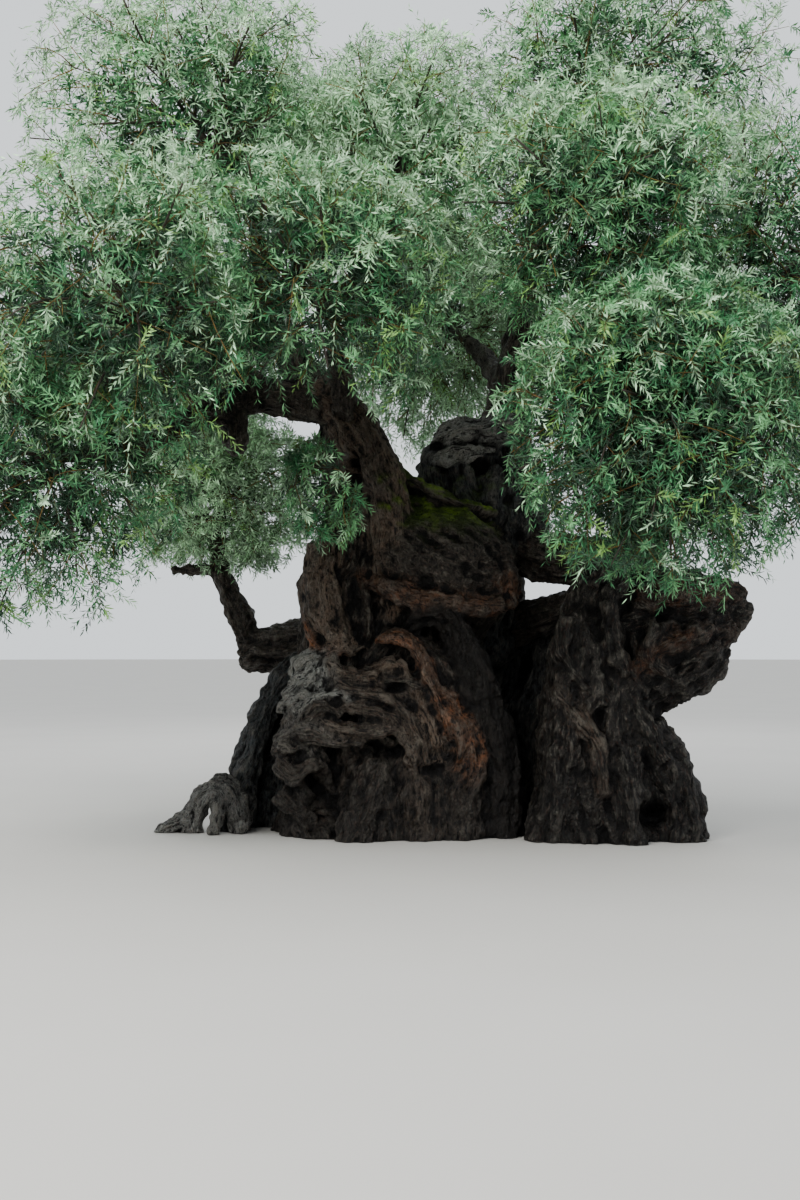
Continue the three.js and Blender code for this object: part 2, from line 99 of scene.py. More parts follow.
# Folds of the living wood that lie on the front of the left trunk
FRONT_FOLDS = [
    # The strap of the neck that swirls in under the bowl, and its reddish edge
    limb((-605, -620, 2335, 200), (-620, -660, 2070, 200), (-610, -700, 1825, 190), (-540, -740, 1645, 150),
         (-420, -780, 1540, 95), (-275, -800, 1540, 55), twist=0.3, stain="warm"),
    limb((-780, -700, 1760, 40), (-735, -760, 1615, 50), (-630, -800, 1515, 50), (-465, -820, 1475, 40),
         smooth=True, stain="rope"),
    # The reddish rope that arches over and swells towards the ground, and the straps on both sides of it
    limb((-210, -820, 1555, 50), (-95, -870, 1610, 65), (15, -890, 1605, 70), (120, -900, 1515, 70),
         (200, -900, 1380, 70), (265, -890, 1220, 80), (360, -860, 1075, 105), (460, -820, 920, 145),
         (530, -790, 735, 170), (550, -790, 515, 170), (515, -820, 255, 160), (495, -860, -100, 160),
         twist=1.3, width=0.07, stain="rope"),
    limb((-175, -800, 1355, 65), (-65, -850, 1405, 65), (30, -870, 1355, 55), (95, -870, 1230, 55),
         (160, -870, 1060, 65), (240, -860, 875, 80), (305, -840, 620, 95), smooth=True, stain="warm"),
    limb((160, -760, 1580, 80), (305, -790, 1420, 80), (445, -770, 1220, 90), (565, -730, 1055, 95),
         (685, -680, 865, 110), twist=0.8),
    # Smooth folds that sweep over the front and down to the right
    limb((-660, -770, 1460, 65), (-520, -840, 1355, 70), (-360, -880, 1300, 70), (-190, -890, 1275, 55),
         smooth=True, stain="warm"),
    limb((-630, -790, 1325, 70), (-440, -880, 1195, 80), (-240, -910, 1150, 70), (-95, -910, 1110, 65),
         (30, -910, 990, 65), (130, -910, 805, 70), (190, -910, 585, 80), smooth=True, stain="warm_faint"),
    limb((-560, -830, 1125, 70), (-385, -900, 1045, 80), (-175, -920, 1000, 70), (-25, -920, 925, 70),
         (70, -920, 750, 70), (120, -920, 510, 70), smooth=True, stain="warm_faint"),
    limb((-950, -730, 915, 55), (-805, -820, 970, 65), (-625, -880, 925, 70), (-440, -910, 860, 70),
         (-240, -930, 850, 65), (-65, -930, 880, 55), (40, -930, 825, 55), (105, -930, 690, 65),
         (145, -930, 465, 70), (165, -940, 190, 80), (175, -950, -130, 90), twist=1.0, stain="warm_faint"),
    limb((-915, -730, 755, 55), (-805, -830, 810, 65), (-625, -880, 795, 65), (-440, -900, 760, 55),
         (-270, -900, 740, 50), smooth=True),
    # The contorted pale lobe on the left
    limb((-835, -740, 1290, 70), (-785, -770, 1420, 80), (-670, -790, 1460, 70), smooth=True, stain="pale"),
    limb((-890, -740, 1145, 65), (-810, -810, 1245, 70), (-700, -840, 1290, 65), (-635, -820, 1390, 50),
         smooth=True, stain="pale"),
    limb((-940, -720, 1030, 65), (-835, -810, 1115, 70), (-715, -860, 1130, 70), (-625, -860, 1050, 55),
         smooth=True, stain="pale"),
    limb((-620, -810, 1485, 40), (-595, -860, 1310, 40), (-625, -860, 1180, 40), smooth=True, stain="pale"),
    limb((-540, -830, 1470, 30), (-520, -880, 1310, 40), (-560, -890, 1195, 30), smooth=True,
         stain="pale_faint"),
    limb((-820, -830, 985, 50), (-735, -880, 1075, 50), (-620, -910, 1150, 50), (-510, -920, 1165, 40),
         (-400, -930, 1120, 40), smooth=True, stain="pale"),
    limb((-720, -870, 970, 70), (-605, -920, 1055, 70), (-475, -930, 1005, 55), smooth=True),
    limb((-990, -720, 785, 65), (-885, -810, 855, 55), (-760, -880, 900, 50), (-640, -910, 870, 50),
         (-540, -920, 800, 40), smooth=True, stain="pale_faint"),
    limb((-970, -740, 595, 95), (-825, -830, 495, 105), (-675, -860, 555, 90), smooth=True),
    limb((-1005, -700, 670, 65), (-920, -790, 735, 65), (-820, -840, 700, 55), smooth=True,
         stain="pale_faint"),
    limb((-955, -740, 350, 90), (-840, -780, 240, 80), smooth=True),
    # The smooth foot between the root flares
    limb((300, -790, 520, 100), (290, -840, 220, 140), (280, -860, -200, 150), smooth=True),
    limb((-130, -790, 560, 90), (-90, -850, 250, 120), (-60, -870, -200, 140), smooth=True),
    # The mossy ridge that runs from the neck along the top of the bowl
    limb((-65, -560, 3015, 50), (105, -580, 2885, 65), (330, -580, 2770, 70), (545, -550, 2685, 65),
         (780, -490, 2625, 50), smooth=True),
    limb((-15, -420, 2750, 135), (230, -460, 2620, 170), (515, -460, 2510, 185), twist=0.8),
    # The belly that the folds lie on, and the round bowl with its rim
    limb((-150, -300, -300, 570), (-120, -330, 700, 535), (-20, -340, 1350, 460), (80, -330, 1800, 370),
         twist=0.9, width=0.09),
    limb((330, -330, -300, 500), (330, -380, 700, 440), (300, -400, 1300, 360), twist=-0.6, width=0.09),
    limb((-260, -430, 2450, 220), (80, -500, 2320, 370), (450, -500, 2230, 420), (800, -410, 2190, 290),
         twist=1.3, width=0.06),
    limb((-300, -700, 2080, 60), (0, -790, 1960, 90), (380, -810, 1880, 100), (740, -730, 1860, 95),
         (900, -620, 1870, 70), twist=1.4, stain="rope_faint"),
]
STUMP = [
    limb((560, 130, 1500, 470), (600, 160, 2500, 500), (640, 120, 3180, 430), twist=0.25, width=0.13),
    limb((200, -180, 3170, 80), (480, -220, 3320, 135), (860, -160, 3380, 150), (1080, 20, 3300, 110),
         twist=1.2, width=0.08, stain="pale"),
    limb((1000, -60, 2300, 240), (1040, -120, 2800, 210), (900, 40, 3200, 200)),
    limb((180, -220, 3020, 40), (420, -350, 3120, 60), (800, -330, 3180, 50), stain="pale"),
    limb((700, -200, 2350, 90), (760, -330, 2700, 120), (820, -290, 3050, 80)),
    limb((330, -260, 3270, 70), (520, -260, 3420, 90), (650, -200, 3440, 60), smooth=True, stain="pale"),
    limb((700, -210, 3400, 80), (820, -240, 3470, 85), (960, -160, 3440, 60), smooth=True, stain="pale"),
    limb((280, -200, 3160, 115), (280, -230, 2940, 125), (340, -260, 2700, 120), (480, -310, 2500, 100),
         smooth=True),
    limb((470, -250, 3120, 110), (560, -280, 2820, 130), (700, -290, 2540, 110), smooth=True),
]
RIGHT_TRUNK = [
    limb((1600, -640, -300, 600), (1610, -620, 650, 490), (1700, -580, 1350, 490), (1860, -480, 2120, 400),
         twist=-0.35, width=0.08),
    limb((1850, -660, 1250, 400), (2280, -640, 1560, 430), (2540, -600, 1790, 310), twist=0.7, width=0.08),
    limb((1900, -880, 1930, 130), (2330, -890, 1930, 150), (2740, -700, 1960, 120), stain="rope_faint"),
    limb((1820, -990, 1330, 90), (2160, -1000, 1570, 110), (2640, -810, 1660, 120), stain="rope_faint"),
    limb((1180, -860, -300, 250), (1330, -920, 650, 200), (1400, -900, 1350, 215), (1560, -780, 2020, 190),
         twist=-0.4, width=0.07),
    limb((1900, -760, 900, 230), (2160, -820, 420, 215), (2240, -900, -300, 240)),
    limb((1700, -900, 800, 190), (1790, -1090, 350, 150), (1800, -1140, -300, 150)),
    limb((1640, -760, 1850, 300), (1840, -760, 2180, 210)),
    limb((1950, -980, 1180, 60), (1720, -1060, 1400, 75), (1640, -1040, 1750, 80), (1700, -960, 2080, 60),
         twist=1.5),
    limb((1480, -1080, 900, 45), (1540, -1090, 1300, 60), (1480, -1040, 1700, 50)),
    # Lumps and rolls of the burl and the waist
    limb((1880, -940, 1880, 70), (2050, -1010, 1700, 95), (1950, -1050, 1480, 90), (2120, -1000, 1290, 70),
         smooth=True),
    limb((2180, -930, 1430, 100), (2400, -900, 1480, 120), (2590, -820, 1560, 90), smooth=True),
    limb((1330, -1000, 1750, 80), (1300, -1010, 1480, 95), (1420, -1060, 1260, 90), (1600, -1060, 1100, 60),
         smooth=True),
    limb((1240, -1040, 1180, 60), (1400, -1080, 980, 90), (1560, -1100, 700, 95), (1600, -1120, 400, 80),
         smooth=True, stain="warm_faint"),
    limb((1800, -1000, 1120, 80), (1950, -980, 880, 95), (2080, -960, 640, 90), smooth=True),
    limb((2560, -780, 1930, 120), (2720, -700, 1850, 110), (2700, -690, 1690, 90), smooth=True,
         stain="warm"),
    limb((1880, -640, 1720, 400), (2280, -660, 1800, 370), (2600, -640, 1850, 270), twist=0.8, width=0.07),
]
BACK_WALL = [
    limb((700, 420, -300, 420), (780, 420, 900, 360), (860, 330, 1550, 260), (860, 250, 1900, 120),
         width=0.13),
    limb((1300, 320, -300, 400), (1280, 300, 800, 330), (1300, 180, 1450, 220), (1340, 60, 1750, 100),
         width=0.13),
]
# Smaller folds between the two trunks, beside the limbs that join them
JOINING_FOLDS = [
    limb((900, 100, 1800, 100), (1080, 20, 1830, 100), (1300, -130, 1880, 95), (1580, -300, 1950, 90),
         twist=0.8, width=0.07),
    limb((960, -100, 2340, 125), (1200, -200, 2200, 140), (1480, -300, 2160, 135), (1760, -420, 2150, 120),
         twist=0.8, width=0.07),
]
LEFT_SHELL = [
    limb((-700, 60, 1480, 120), (-1040, -60, 1180, 130), (-1230, -160, 760, 120), (-1330, -250, 360, 135),
         (-1440, -360, -300, 160), twist=0.8),
    limb((-700, 180, 1250, 170), (-1080, 90, 760, 190), (-1220, 30, -300, 230)),
]
ROOT_KNUCKLE = [
    limb((-1330, -520, -300, 100), (-1330, -500, 180, 90), (-1450, -450, 370, 105), (-1610, -420, 310, 105),
         (-1710, -440, 60, 90), (-1740, -460, -300, 95), width=0.05),
    limb((-1450, -440, 330, 75), (-1500, -560, 130, 55), (-1520, -620, -300, 60), smooth=True),
    limb((-1680, -430, 110, 80), (-1880, -440, 40, 62), (-2060, -450, -80, 45)),
]
# Root flares round the back of the left trunk
FLARE_COUNT = 7
FLARE_FIRST_TURN = -0.35
FLARE_SPAN = 3.9
FLARE_LINE = ((620, 620, 220), (850, 230, 200), (990, -300, 230))  # distance out, height and radius
FLARES = [
    limb(*((far * math.cos(turn), 50 + far * math.sin(turn), up, radius) for far, up, radius in FLARE_LINE))
    for turn in (FLARE_FIRST_TURN + FLARE_SPAN * i / (FLARE_COUNT - 1) for i in range(FLARE_COUNT))
]
# The main boughs and the limbs that join the trunks
BOUGHS = dict(
    left_arm=limb((-560, -600, 3480, 175), (-1180, -800, 3560, 155), (-1520, -1200, 3330, 120),
                  (-1800, -1650, 3080, 85)),
    left_knob=limb((-1330, -960, 3480, 95), (-1310, -1010, 3220, 110), (-1270, -1040, 3060, 80)),
    left_front=limb((-1150, -800, 3570, 105), (-1420, -1350, 3800, 90), (-1680, -1750, 3760, 65)),
    far_left=limb((-1000, -740, 3600, 120), (-1700, -560, 3900, 100), (-2300, -420, 4080, 80),
                  (-2800, -380, 4130, 60)),
    left_leader=limb((-640, -600, 3480, 165), (-1000, -560, 4120, 125), (-1150, -600, 4650, 95),
                     (-1190, -680, 5080, 65)),
    left_inner=limb((-430, -620, 3380, 120), (-470, -1150, 3740, 90), (-470, -1600, 3820, 65)),
    left_rear=limb((-900, -560, 3950, 110), (-1250, 150, 4230, 90), (-1620, 750, 4330, 65)),
    top_middle=limb((-1060, -570, 4330, 85), (-720, -520, 4800, 70), (-380, -500, 5050, 55)),
    top_rear=limb((-1130, -590, 4560, 80), (-1040, -60, 5060, 65), (-860, 330, 5420, 50)),
    middle=limb((780, 60, 2980, 235), (990, 30, 3850, 175), (1110, -10, 4600, 125), (1200, -80, 5420, 90)),
    middle_rear=limb((940, 40, 3620, 115), (820, 780, 4150, 90), (640, 1350, 4480, 65)),
    right_main=limb((1870, -480, 2000, 270), (2130, -340, 2850, 200), (2420, -430, 3560, 140),
                    (2660, -680, 4060, 90)),
    right_front=limb((2140, -360, 2830, 130), (2080, -1050, 3120, 100), (1980, -1600, 3220, 70)),
    right_inner=limb((2340, -400, 3380, 105), (2060, -820, 3950, 80), (1830, -1150, 4240, 60)),
    far_right=limb((2300, -380, 3280, 115), (2950, -120, 3620, 90), (3450, 80, 3780, 65)),
    right_rear=limb((2180, -340, 2950, 125), (2350, 350, 3650, 95), (2440, 880, 4080, 70)),
    bridge=limb((900, -60, 2560, 210), (1200, -170, 2330, 200), (1480, -270, 2290, 185),
                (1850, -420, 2250, 170)),
    link=limb((860, 260, 1560, 150), (1080, 40, 1690, 125), (1300, -140, 1800, 130),
              (1640, -380, 1930, 140)),
    low_left=limb((-260, 300, 1450, 230), (-720, 560, 1560, 225), (-1120, 680, 1520, 215),
                  (-1400, 720, 1440, 190)),
    low_rise=limb((-1330, 700, 1500, 120), (-1500, 740, 1900, 110), (-1640, 780, 2180, 100),
                  (-1690, 820, 2420, 75)),
    low_stub=limb((-1640, 780, 2180, 60), (-1850, 760, 2240, 55), (-2080, 740, 2230, 45)),
    neck_twig=limb((-260, -640, 3000, 60), (-330, -900, 3080, 48), (-430, -1120, 3020, 38)),
)
# The masses of foliage: the middle and half sizes of each one's space, and the bough that carries it
MASSES = dict(
    left_front=("left_front", (-1890, -2500, 3850), (1500, 1400, 1400)),
    left_low=("left_arm", (-2600, -2100, 2850), (1300, 1200, 1300)),
    left_inner=("left_inner", (-600, -2300, 4100), (1200, 1150, 1150)),
    left_top=("left_leader", (-1700, -900, 5800), (1650, 1500, 1300)),
    left_far=("far_left", (-3850, -300, 4250), (1450, 1600, 1500)),
    left_rear=("left_rear", (-2300, 1750, 4400), (1750, 1650, 1550)),
    top_middle=("top_middle", (50, -750, 5500), (1350, 1350, 1250)),
    top_rear=("top_rear", (-600, 1100, 6150), (1550, 1450, 1150)),
    middle_rear=("middle_rear", (450, 2400, 4800), (1600, 1550, 1500)),
    right_top=("middle", (1950, -300, 6300), (1650, 1550, 1250)),
    right_front=("right_front", (1800, -2550, 3050), (1250, 1200, 1300)),
    right_inner=("right_inner", (1450, -1950, 4750), (1250, 1250, 1150)),
    right_main=("right_main", (3200, -1350, 4600), (1550, 1500, 1450)),
    right_far=("far_right", (4250, 400, 3800), (1400, 1500, 1450)),
    right_rear=("right_rear", (2650, 1900, 4650), (1750, 1650, 1600)),
    low_rise=("low_rise", (-1650, 920, 2950), (1120, 900, 850)),
    neck_front=("neck_twig", (-560, -1330, 2760), (430, 400, 520)),
)
SPACE_MARGIN = 0.012  # what each room leaves free at the wall to its neighbour
STEM_SHARES = (1, 0.85, 0.7, 0.5)  # radii along a mass's stem, as shares of its first
STEM_FIT = 0.97  # how thick the stem begins, as a share of the end of the bough that carries it
GOLDEN_TURN = math.pi * (3 - math.sqrt(5))

# Dark hollows of the old wood: middle, reach and depth in metres
HOLLOWS = [
    ((-0.65, -0.92, 0.30), (0.15, 0.35, 0.27), 0.34),
    ((-0.30, -0.90, 1.56), (0.13, 0.22, 0.06), 0.12),
    ((-0.02, -0.95, 1.44), (0.035, 0.2, 0.04), 0.07),
    ((-0.04, -0.95, 1.20), (0.10, 0.2, 0.045), 0.13),
    ((-0.12, -0.92, 0.70), (0.17, 0.3, 0.09), 0.15),
    ((-0.36, -0.90, 0.66), (0.08, 0.2, 0.08), 0.09),
    ((0.17, -0.95, 0.52), (0.06, 0.2, 0.15), 0.08),
    ((0.12, -0.86, 1.72), (0.40, 0.2, 0.05), 0.08),
    ((-0.38, -0.70, 2.92), (0.07, 0.25, 0.27), 0.20),
    ((1.96, -1.12, 0.22), (0.17, 0.3, 0.14), 0.18),
    ((2.03, -1.05, 1.78), (0.17, 0.25, 0.07), 0.14),
]
# The moss on the saddle: its middle, how far it spreads, and how much of it a piece has if not all
MOSS_MIDDLE = (0.35, -0.55, 2.72)
MOSS_SHAPE = (1.0, 0.8, 0.6)
MOSS_REACH = 0.75
MOSSY = dict(stump_wood=0.25)
MOSS_THICK_FROM = 2.45  # height above which the moss thickens
# The marks a limb can bear, and how faint and how soft at its border a faint one is; the last is painted
# shade on the side that recedes into the hollow, which also darkens the foot of the trunks
MARKS = ("rope", "pale", "warm", "char")
FAINT = 0.5
BORDER, FAINT_BORDER = 0.05, 0.16
# How a piece's marks fade towards the ground: the height at which each begins, and over which it grows
FADES = dict(trunk_left_wood=dict(pale=(0.50, 0.60), rope=(0.30, 0.50)))
NO_FADE = (-9.0, 1.0)
# How much lumpier than the rest these pieces are
LUMPS = dict(trunk_right_wood=1.4, stump_wood=1.4, root_knuckle_wood=1.4, old_shell_wood=1.3)
# How much darker the foot of each trunk is, up to which height, and over which the darkening fades
DARKER_FOOT = dict(trunk_left_wood=0.5, trunk_right_wood=0.3)
DARKER_FOOT_HEIGHT, DARKER_FOOT_FADES = 0.85, 0.5
FAR_OFF = 9.0  # a distance greater than any in the wood
ANY_TURN = 6.3  # a random turn goes from nought to this


# ---- Numbers and curves ----------------------------------------------------------------------
def chance(n):
    """A repeatable number from 0 to 1, by the source's rule."""
    wave = np.sin(np.asarray(n) * 12.9898 + 4.1414) * 43758.5453
    return wave - np.floor(wave)


def unit(v):
    return v / np.maximum(np.linalg.norm(v, axis=-1, keepdims=True), 1e-9)


def ease(x):
    """0 below 0, 1 above 1, and smooth between."""
    x = np.clip(x, 0, 1)
    return x * x * (3 - 2 * x)


CELL_KEYS = (374761393, 668265263, 1442695041)  # large odd numbers that scatter the noise's cells
SEED_KEY, STIR_KEY, WORD = 974711, 1274126177, 0xFFFFFFFF


def noise(q, seed=0):
    """Smooth noise of about -1 to 1 at each place of q."""
    cell = np.floor(q).astype(np.int64)
    f = q - cell
    w = f * f * f * (f * (f * 6 - 15) + 10)
    total = np.zeros(len(q))
    for corner in np.ndindex(2, 2, 2):
        x, y, z = (cell[:, axis] + corner[axis] for axis in range(3))
        h = (x * CELL_KEYS[0] + y * CELL_KEYS[1] + z * CELL_KEYS[2] + seed * SEED_KEY) & WORD
        h = ((h ^ (h >> 13)) * STIR_KEY) & WORD
        h = h ^ (h >> 16)
        slope = [(h >> shift & 1023) / 511.5 - 1 for shift in (0, 10, 20)]
        dot = sum(slope[axis] * (f[:, axis] - corner[axis]) for axis in range(3))
        near = [w[:, axis] if corner[axis] else 1 - w[:, axis] for axis in range(3)]
        total += dot * near[0] * near[1] * near[2]
    return total * 1.3


def carried_across(ways, side):
    """A direction across each way, carried along from one to the next so that it doesn't turn."""
    across = np.empty_like(ways)
    for k, way in enumerate(ways):
        side = side - way * side.dot(way)
        side /= np.linalg.norm(side)
        across[k] = side
    return across


def lengths_so_far(places):
    return np.concatenate([[0], np.cumsum(np.linalg.norm(np.diff(places, axis=0), axis=1))])


def trace(stations, step):
    """A limb as rings: middles, directions, two cross directions, radii and lengths so far, in metres."""
    rows = np.array(stations, float) * MILLI
    corner, girth = rows[:, :3], rows[:, 3]
    ends = np.vstack([2 * corner[0] - corner[1], corner, 2 * corner[-1] - corner[-2]])
    length = np.linalg.norm(np.diff(corner, axis=0), axis=1).sum()
    place = np.linspace(0, len(corner) - 1, max(5, int(length / step)) + 1)
    i = np.minimum(place.astype(int), len(corner) - 2)
    f = (place - i)[:, None]
    a, b, c, d = ends[i], ends[i + 1], ends[i + 2], ends[i + 3]
    start, end = (c - a) / 2, (d - b) / 2
    at = b + start * f + (3 * (c - b) - 2 * start - end) * f**2 + (2 * (b - c) + start + end) * f**3
    way = unit(np.gradient(at, axis=0))
    radius = girth[i] + (girth[i + 1] - girth[i]) * ease(f[:, 0])
    across = carried_across(way, np.array([1.0, 0, 0]))
    return at, way, across, np.cross(way, across), radius, lengths_so_far(at)


# ---- Bark: strands of wood round every limb, fused and carved ---------------------------------
STRAND_STEP = 0.07
STRAND_LEAST, STRAND_MOST = 0.07, 0.16
STRAND_SHARE = 0.55  # width of a strand for each metre of its limb's mean radius
CORE_SINKS = 0.16  # how far the core lies below the limb's own face, in widths of a strand
STRAND_SINKS = 0.78  # how much of a strand's radius lies within the limb's own radius
STRAND_ENDS = 0.12  # share of the limb at either end within which a strand may begin or end
TAPER = 0.3  # length over which a strand thins out at its ends
END_ROUNDING = 0.45  # height of a limb's rounded end for each metre of its radius
END_TURNS = (0.5, 0.95, 1.3)  # where the rings of a rounded end lie on their quarter turn


def wave(s, pace, key):
    return np.sin(s * pace + ANY_TURN * chance(key))


def strand_round(form, rings, mean, width, count, k, seed):
    """The middles and radii of one rope of wood that winds up round the limb."""
    at, _, across, other, radius, far = rings
    key, whole = seed * 97 + k * 11, far[-1]
    first = whole * STRAND_ENDS * chance(key)
    last = whole * (1 - STRAND_ENDS + STRAND_ENDS * chance(key + 1))
    on = (far >= first) & (far <= last)
    if on.sum() < 4:
        on[:] = True
        first, last = 0.0, whole
    s = far[on]
    wander = 0.55 * wave(s, 3.2 + 2.5 * chance(key + 2), key + 3) + 0.25 * wave(s, 9.0, key + 4)
    turn = 2 * math.pi * (k + 0.7 * (chance(key + 5) - 0.5) + wander) / count + form["twist"] * s + seed
    thick = width * (0.30 + 0.62 * chance(key + 6) ** 1.5)
    thick = thick * (1 + 0.28 * wave(s, 4 + 3 * chance(key + 7), key + 8))
    fade = np.clip(np.minimum((s - first) / TAPER + 0.25, (last - s) / TAPER + 0.25), 0, 1) ** 0.6
    thick = np.minimum(thick * fade * radius[on] / mean, width * 0.9)
    out = (radius[on] - STRAND_SINKS * thick + 0.05 * width * chance(key + 9))[:, None]
    return at[on] + out * (across[on] * np.cos(turn)[:, None] + other[on] * np.sin(turn)[:, None]), thick


def strands_of(form, seed):
    """The core of a limb and the ropes of wood that wind up round it, as (middles, radii, mark), where the
    mark is a stain or painted shade.
    """
    rings = trace(form["stations"], STRAND_STEP)
    at, way, radius = rings[0], rings[1], rings[4]
    mean = radius.mean()
    width = form["width"] or float(np.clip(STRAND_SHARE * mean, STRAND_LEAST, STRAND_MOST))
    core = radius - (0 if form["smooth"] else CORE_SINKS) * width
    caps = [(math.sin(a) * END_ROUNDING, math.cos(a)) for a in END_TURNS]
    before = [at[0] - way[0] * core[0] * out for out, _ in reversed(caps)]
    after = [at[-1] + way[-1] * core[-1] * out for out, _ in caps]
    whole = np.concatenate([[core[0] * r for _, r in reversed(caps)], core, [core[-1] * r for _, r in caps]])
    strands = [(np.vstack([before, at, after]), whole, form["stain"])]
    count = max(5, round(2 * math.pi * mean / width))
    for k in range(0 if form["smooth"] else count):
        strands.append((*strand_round(form, rings, mean, width, count, k, seed), form["stain"]))
    return strands


def deselect():
    if bpy.context.mode != "OBJECT":
        bpy.ops.object.mode_set(mode="OBJECT")
    bpy.ops.object.select_all(action="DESELECT")


def only(piece):
    """Makes the piece the one that is selected and active."""
    deselect()
    piece.select_set(True)
    bpy.context.view_layer.objects.active = piece


def lay_strands(name, strands):
    """One curve with a spline for each strand, made a mesh of closed tubes."""
    deselect()
    bpy.ops.curve.primitive_nurbs_path_add()
    piece = bpy.context.object
    piece.name = piece.data.name = name
    curve = piece.data
    curve.splines.clear()
    curve.dimensions = "3D"
    curve.bevel_depth = 1.0
    curve.bevel_resolution = 2
    curve.use_fill_caps = True
    for places, thick, _ in strands:
        spline = curve.splines.new("POLY")
        spline.points.add(len(places) - 1)
        spline.points.foreach_set("co", np.column_stack([places, np.ones(len(places))]).ravel())
        spline.points.foreach_set("radius", np.ascontiguousarray(thick, float))
    bpy.ops.object.convert(target="MESH")
    return bpy.context.object


def finish_modifier(piece, kind, **settings):
    """Adds a modifier and applies it at once."""
    only(piece)
    bpy.ops.object.modifier_add(type=kind)
    modifier = piece.modifiers[-1]
    for key, value in settings.items():
        setattr(modifier, key, value)
    bpy.ops.object.modifier_apply(modifier=modifier.name)


def triples(items, key, count):
    """Three numbers of each of the mesh's items, such as their places or normals."""
    values = np.empty(count * 3, np.float32)
    items.foreach_get(key, values)
    return values.reshape(-1, 3).astype(float)


def coordinates(mesh):
    return triples(mesh.vertices, "co", len(mesh.vertices))


def outward(mesh):
    return triples(mesh.vertex_normals, "vector", len(mesh.vertices))


def edge_ends(mesh):
    ends = np.empty(len(mesh.edges) * 2, np.int32)
    mesh.edges.foreach_get("vertices", ends)
    return ends.reshape(-1, 2)


def give(mesh, name, values):
    """A mark at every vertex, which the finishes read by its name."""
    kind, key = ("FLOAT_VECTOR", "vector") if values.ndim == 2 else ("FLOAT", "value")
    layer = mesh.attributes.new(name, kind, "POINT")
    layer.data.foreach_set(key, np.ascontiguousarray(values, np.float32).ravel())


BATCH = 3000  # how many places are compared with the strands at once
STRAND_APART = (0.37, 0.53, 7.3)  # how far the grain is moved from strand to strand, so that none repeats


def nearest_strands(places, strands):
    """For each place: its grain coordinates on the nearest strand, how clear it is of the next one, and the
    distance to the nearest strand of each mark."""
    rows = []
    for k, (at, thick, _) in enumerate(strands):
        way = unit(np.gradient(at, axis=0))
        across = carried_across(way, np.array([1.0, 0.2, 0.1]))
        rows.append((at, way, across, thick, lengths_so_far(at) + STRAND_APART[2] * k, np.full(len(at), k)))
    at, way, across, thick, far, owner = (np.concatenate(column) for column in zip(*rows))
    starts = np.flatnonzero(np.r_[True, np.diff(owner) > 0])
    stains_and_shades = [stain for _, _, stain in strands]
    grain = np.empty((len(places), 3))
    clear = np.empty(len(places))
    near_stain_and_shade = {name: np.full(len(places), FAR_OFF) for name in set(stains_and_shades)}
    columns = {name: np.flatnonzero([s == name for s in stains_and_shades]) for name in near_stain_and_shade}
    size = (at**2).sum(1)
    other = np.cross(way, across)
    for low in range(0, len(places), BATCH):
        batch = slice(low, low + BATCH)
        some = places[batch]
        square = (some**2).sum(1)[:, None] + size[None] - 2 * some @ at.T
        off = np.sqrt(np.maximum(square, 1e-9)) - thick[None]
        each = np.minimum.reduceat(off, starts, axis=1)
        best = off.argmin(1)
        row = np.arange(len(some))
        mine = each[row, owner[best]]
        for name, picked in columns.items():
            near_stain_and_shade[name][batch] = each[:, picked].min(1)
        each[row, owner[best]] = FAR_OFF
        clear[batch] = each.min(1) - mine
        gap = some - at[best]
        grain[batch, 0] = (gap * across[best]).sum(1) + STRAND_APART[0] * owner[best]
        grain[batch, 1] = (gap * other[best]).sum(1) + STRAND_APART[1] * owner[best]
        grain[batch, 2] = far[best] + (gap * way[best]).sum(1)
    return grain, clear, near_stain_and_shade


CAVITY_ROUNDS = 24


def cavity(mesh, places):
    """How deep each place lies below the smoothed surface, in metres; ridges are below nought."""
    ends = edge_ends(mesh)
    one, two = ends.T
    size = len(places)
    count = np.bincount(ends.ravel(), minlength=size)[:, None]
    even = places
    for _ in range(CAVITY_ROUNDS):
        total = np.stack([np.bincount(one, even[two, axis], size) + np.bincount(two, even[one, axis], size)
                          for axis in range(3)], 1)
        even = 0.4 * even + 0.6 * total / np.maximum(count, 1)
    return ((even - places) * outward(mesh)).sum(1)


# The relief: the height of each pattern and its size, along the strands' grain or in space, in metres
FIBRES = (0.040, (0.085, 0.085, 0.42))
FINE_FIBRES = (0.028, (0.045, 0.045, 0.17))
PITS = (0.026, (0.055, 0.055, 0.09))
KNOTS = (0.055, (0.13, 0.13, 0.10))
SWELLINGS = ((0.030, 0.24), (0.026, 0.10))
RIDGE_LEVEL = 0.3  # what is taken off a pattern's height so that it rises and sinks about the surface
CLEAR_OF_NEXT = 0.022  # how clear of the next strand the wood is when its grain is at full height
DEEP, HIGH = 0.016, 0.020  # depth of a full crease and height of a full ridge


def ridged(places, height, size, seed):
    """Relief with sharp furrows and round ridges."""
    return height * (np.abs(noise(places / size, seed)) - RIDGE_LEVEL)


def relief(name, places, grain, clear, near, seed):
    """How far each place rises: grain, lumps, pits, knots and hollows."""
    lift = ridged(grain, *FIBRES, seed)
    lift += ridged(grain, *FINE_FIBRES, seed + 1)
    lift *= ease(clear / CLEAR_OF_NEXT)
    swellings = [height * noise(places / size, seed + 2 + k) for k, (height, size) in enumerate(SWELLINGS)]
    lift += LUMPS.get(name, 1.0) * sum(swellings)
    lift += ridged(places, *PITS, seed + 8)
    if "pale" in near:
        knotty = ease((0.05 - near["pale"]) / 0.08)
        lift += ridged(places, knotty * KNOTS[0], KNOTS[1], seed + 7)
    ragged = 0.8 + 0.3 * noise(places / 0.1, seed + 4)
    for middle, reach, depth in HOLLOWS:
        off = np.linalg.norm((places - middle) / reach, axis=1)
        lift -= depth * ease(1.15 - off) * ragged
    return lift


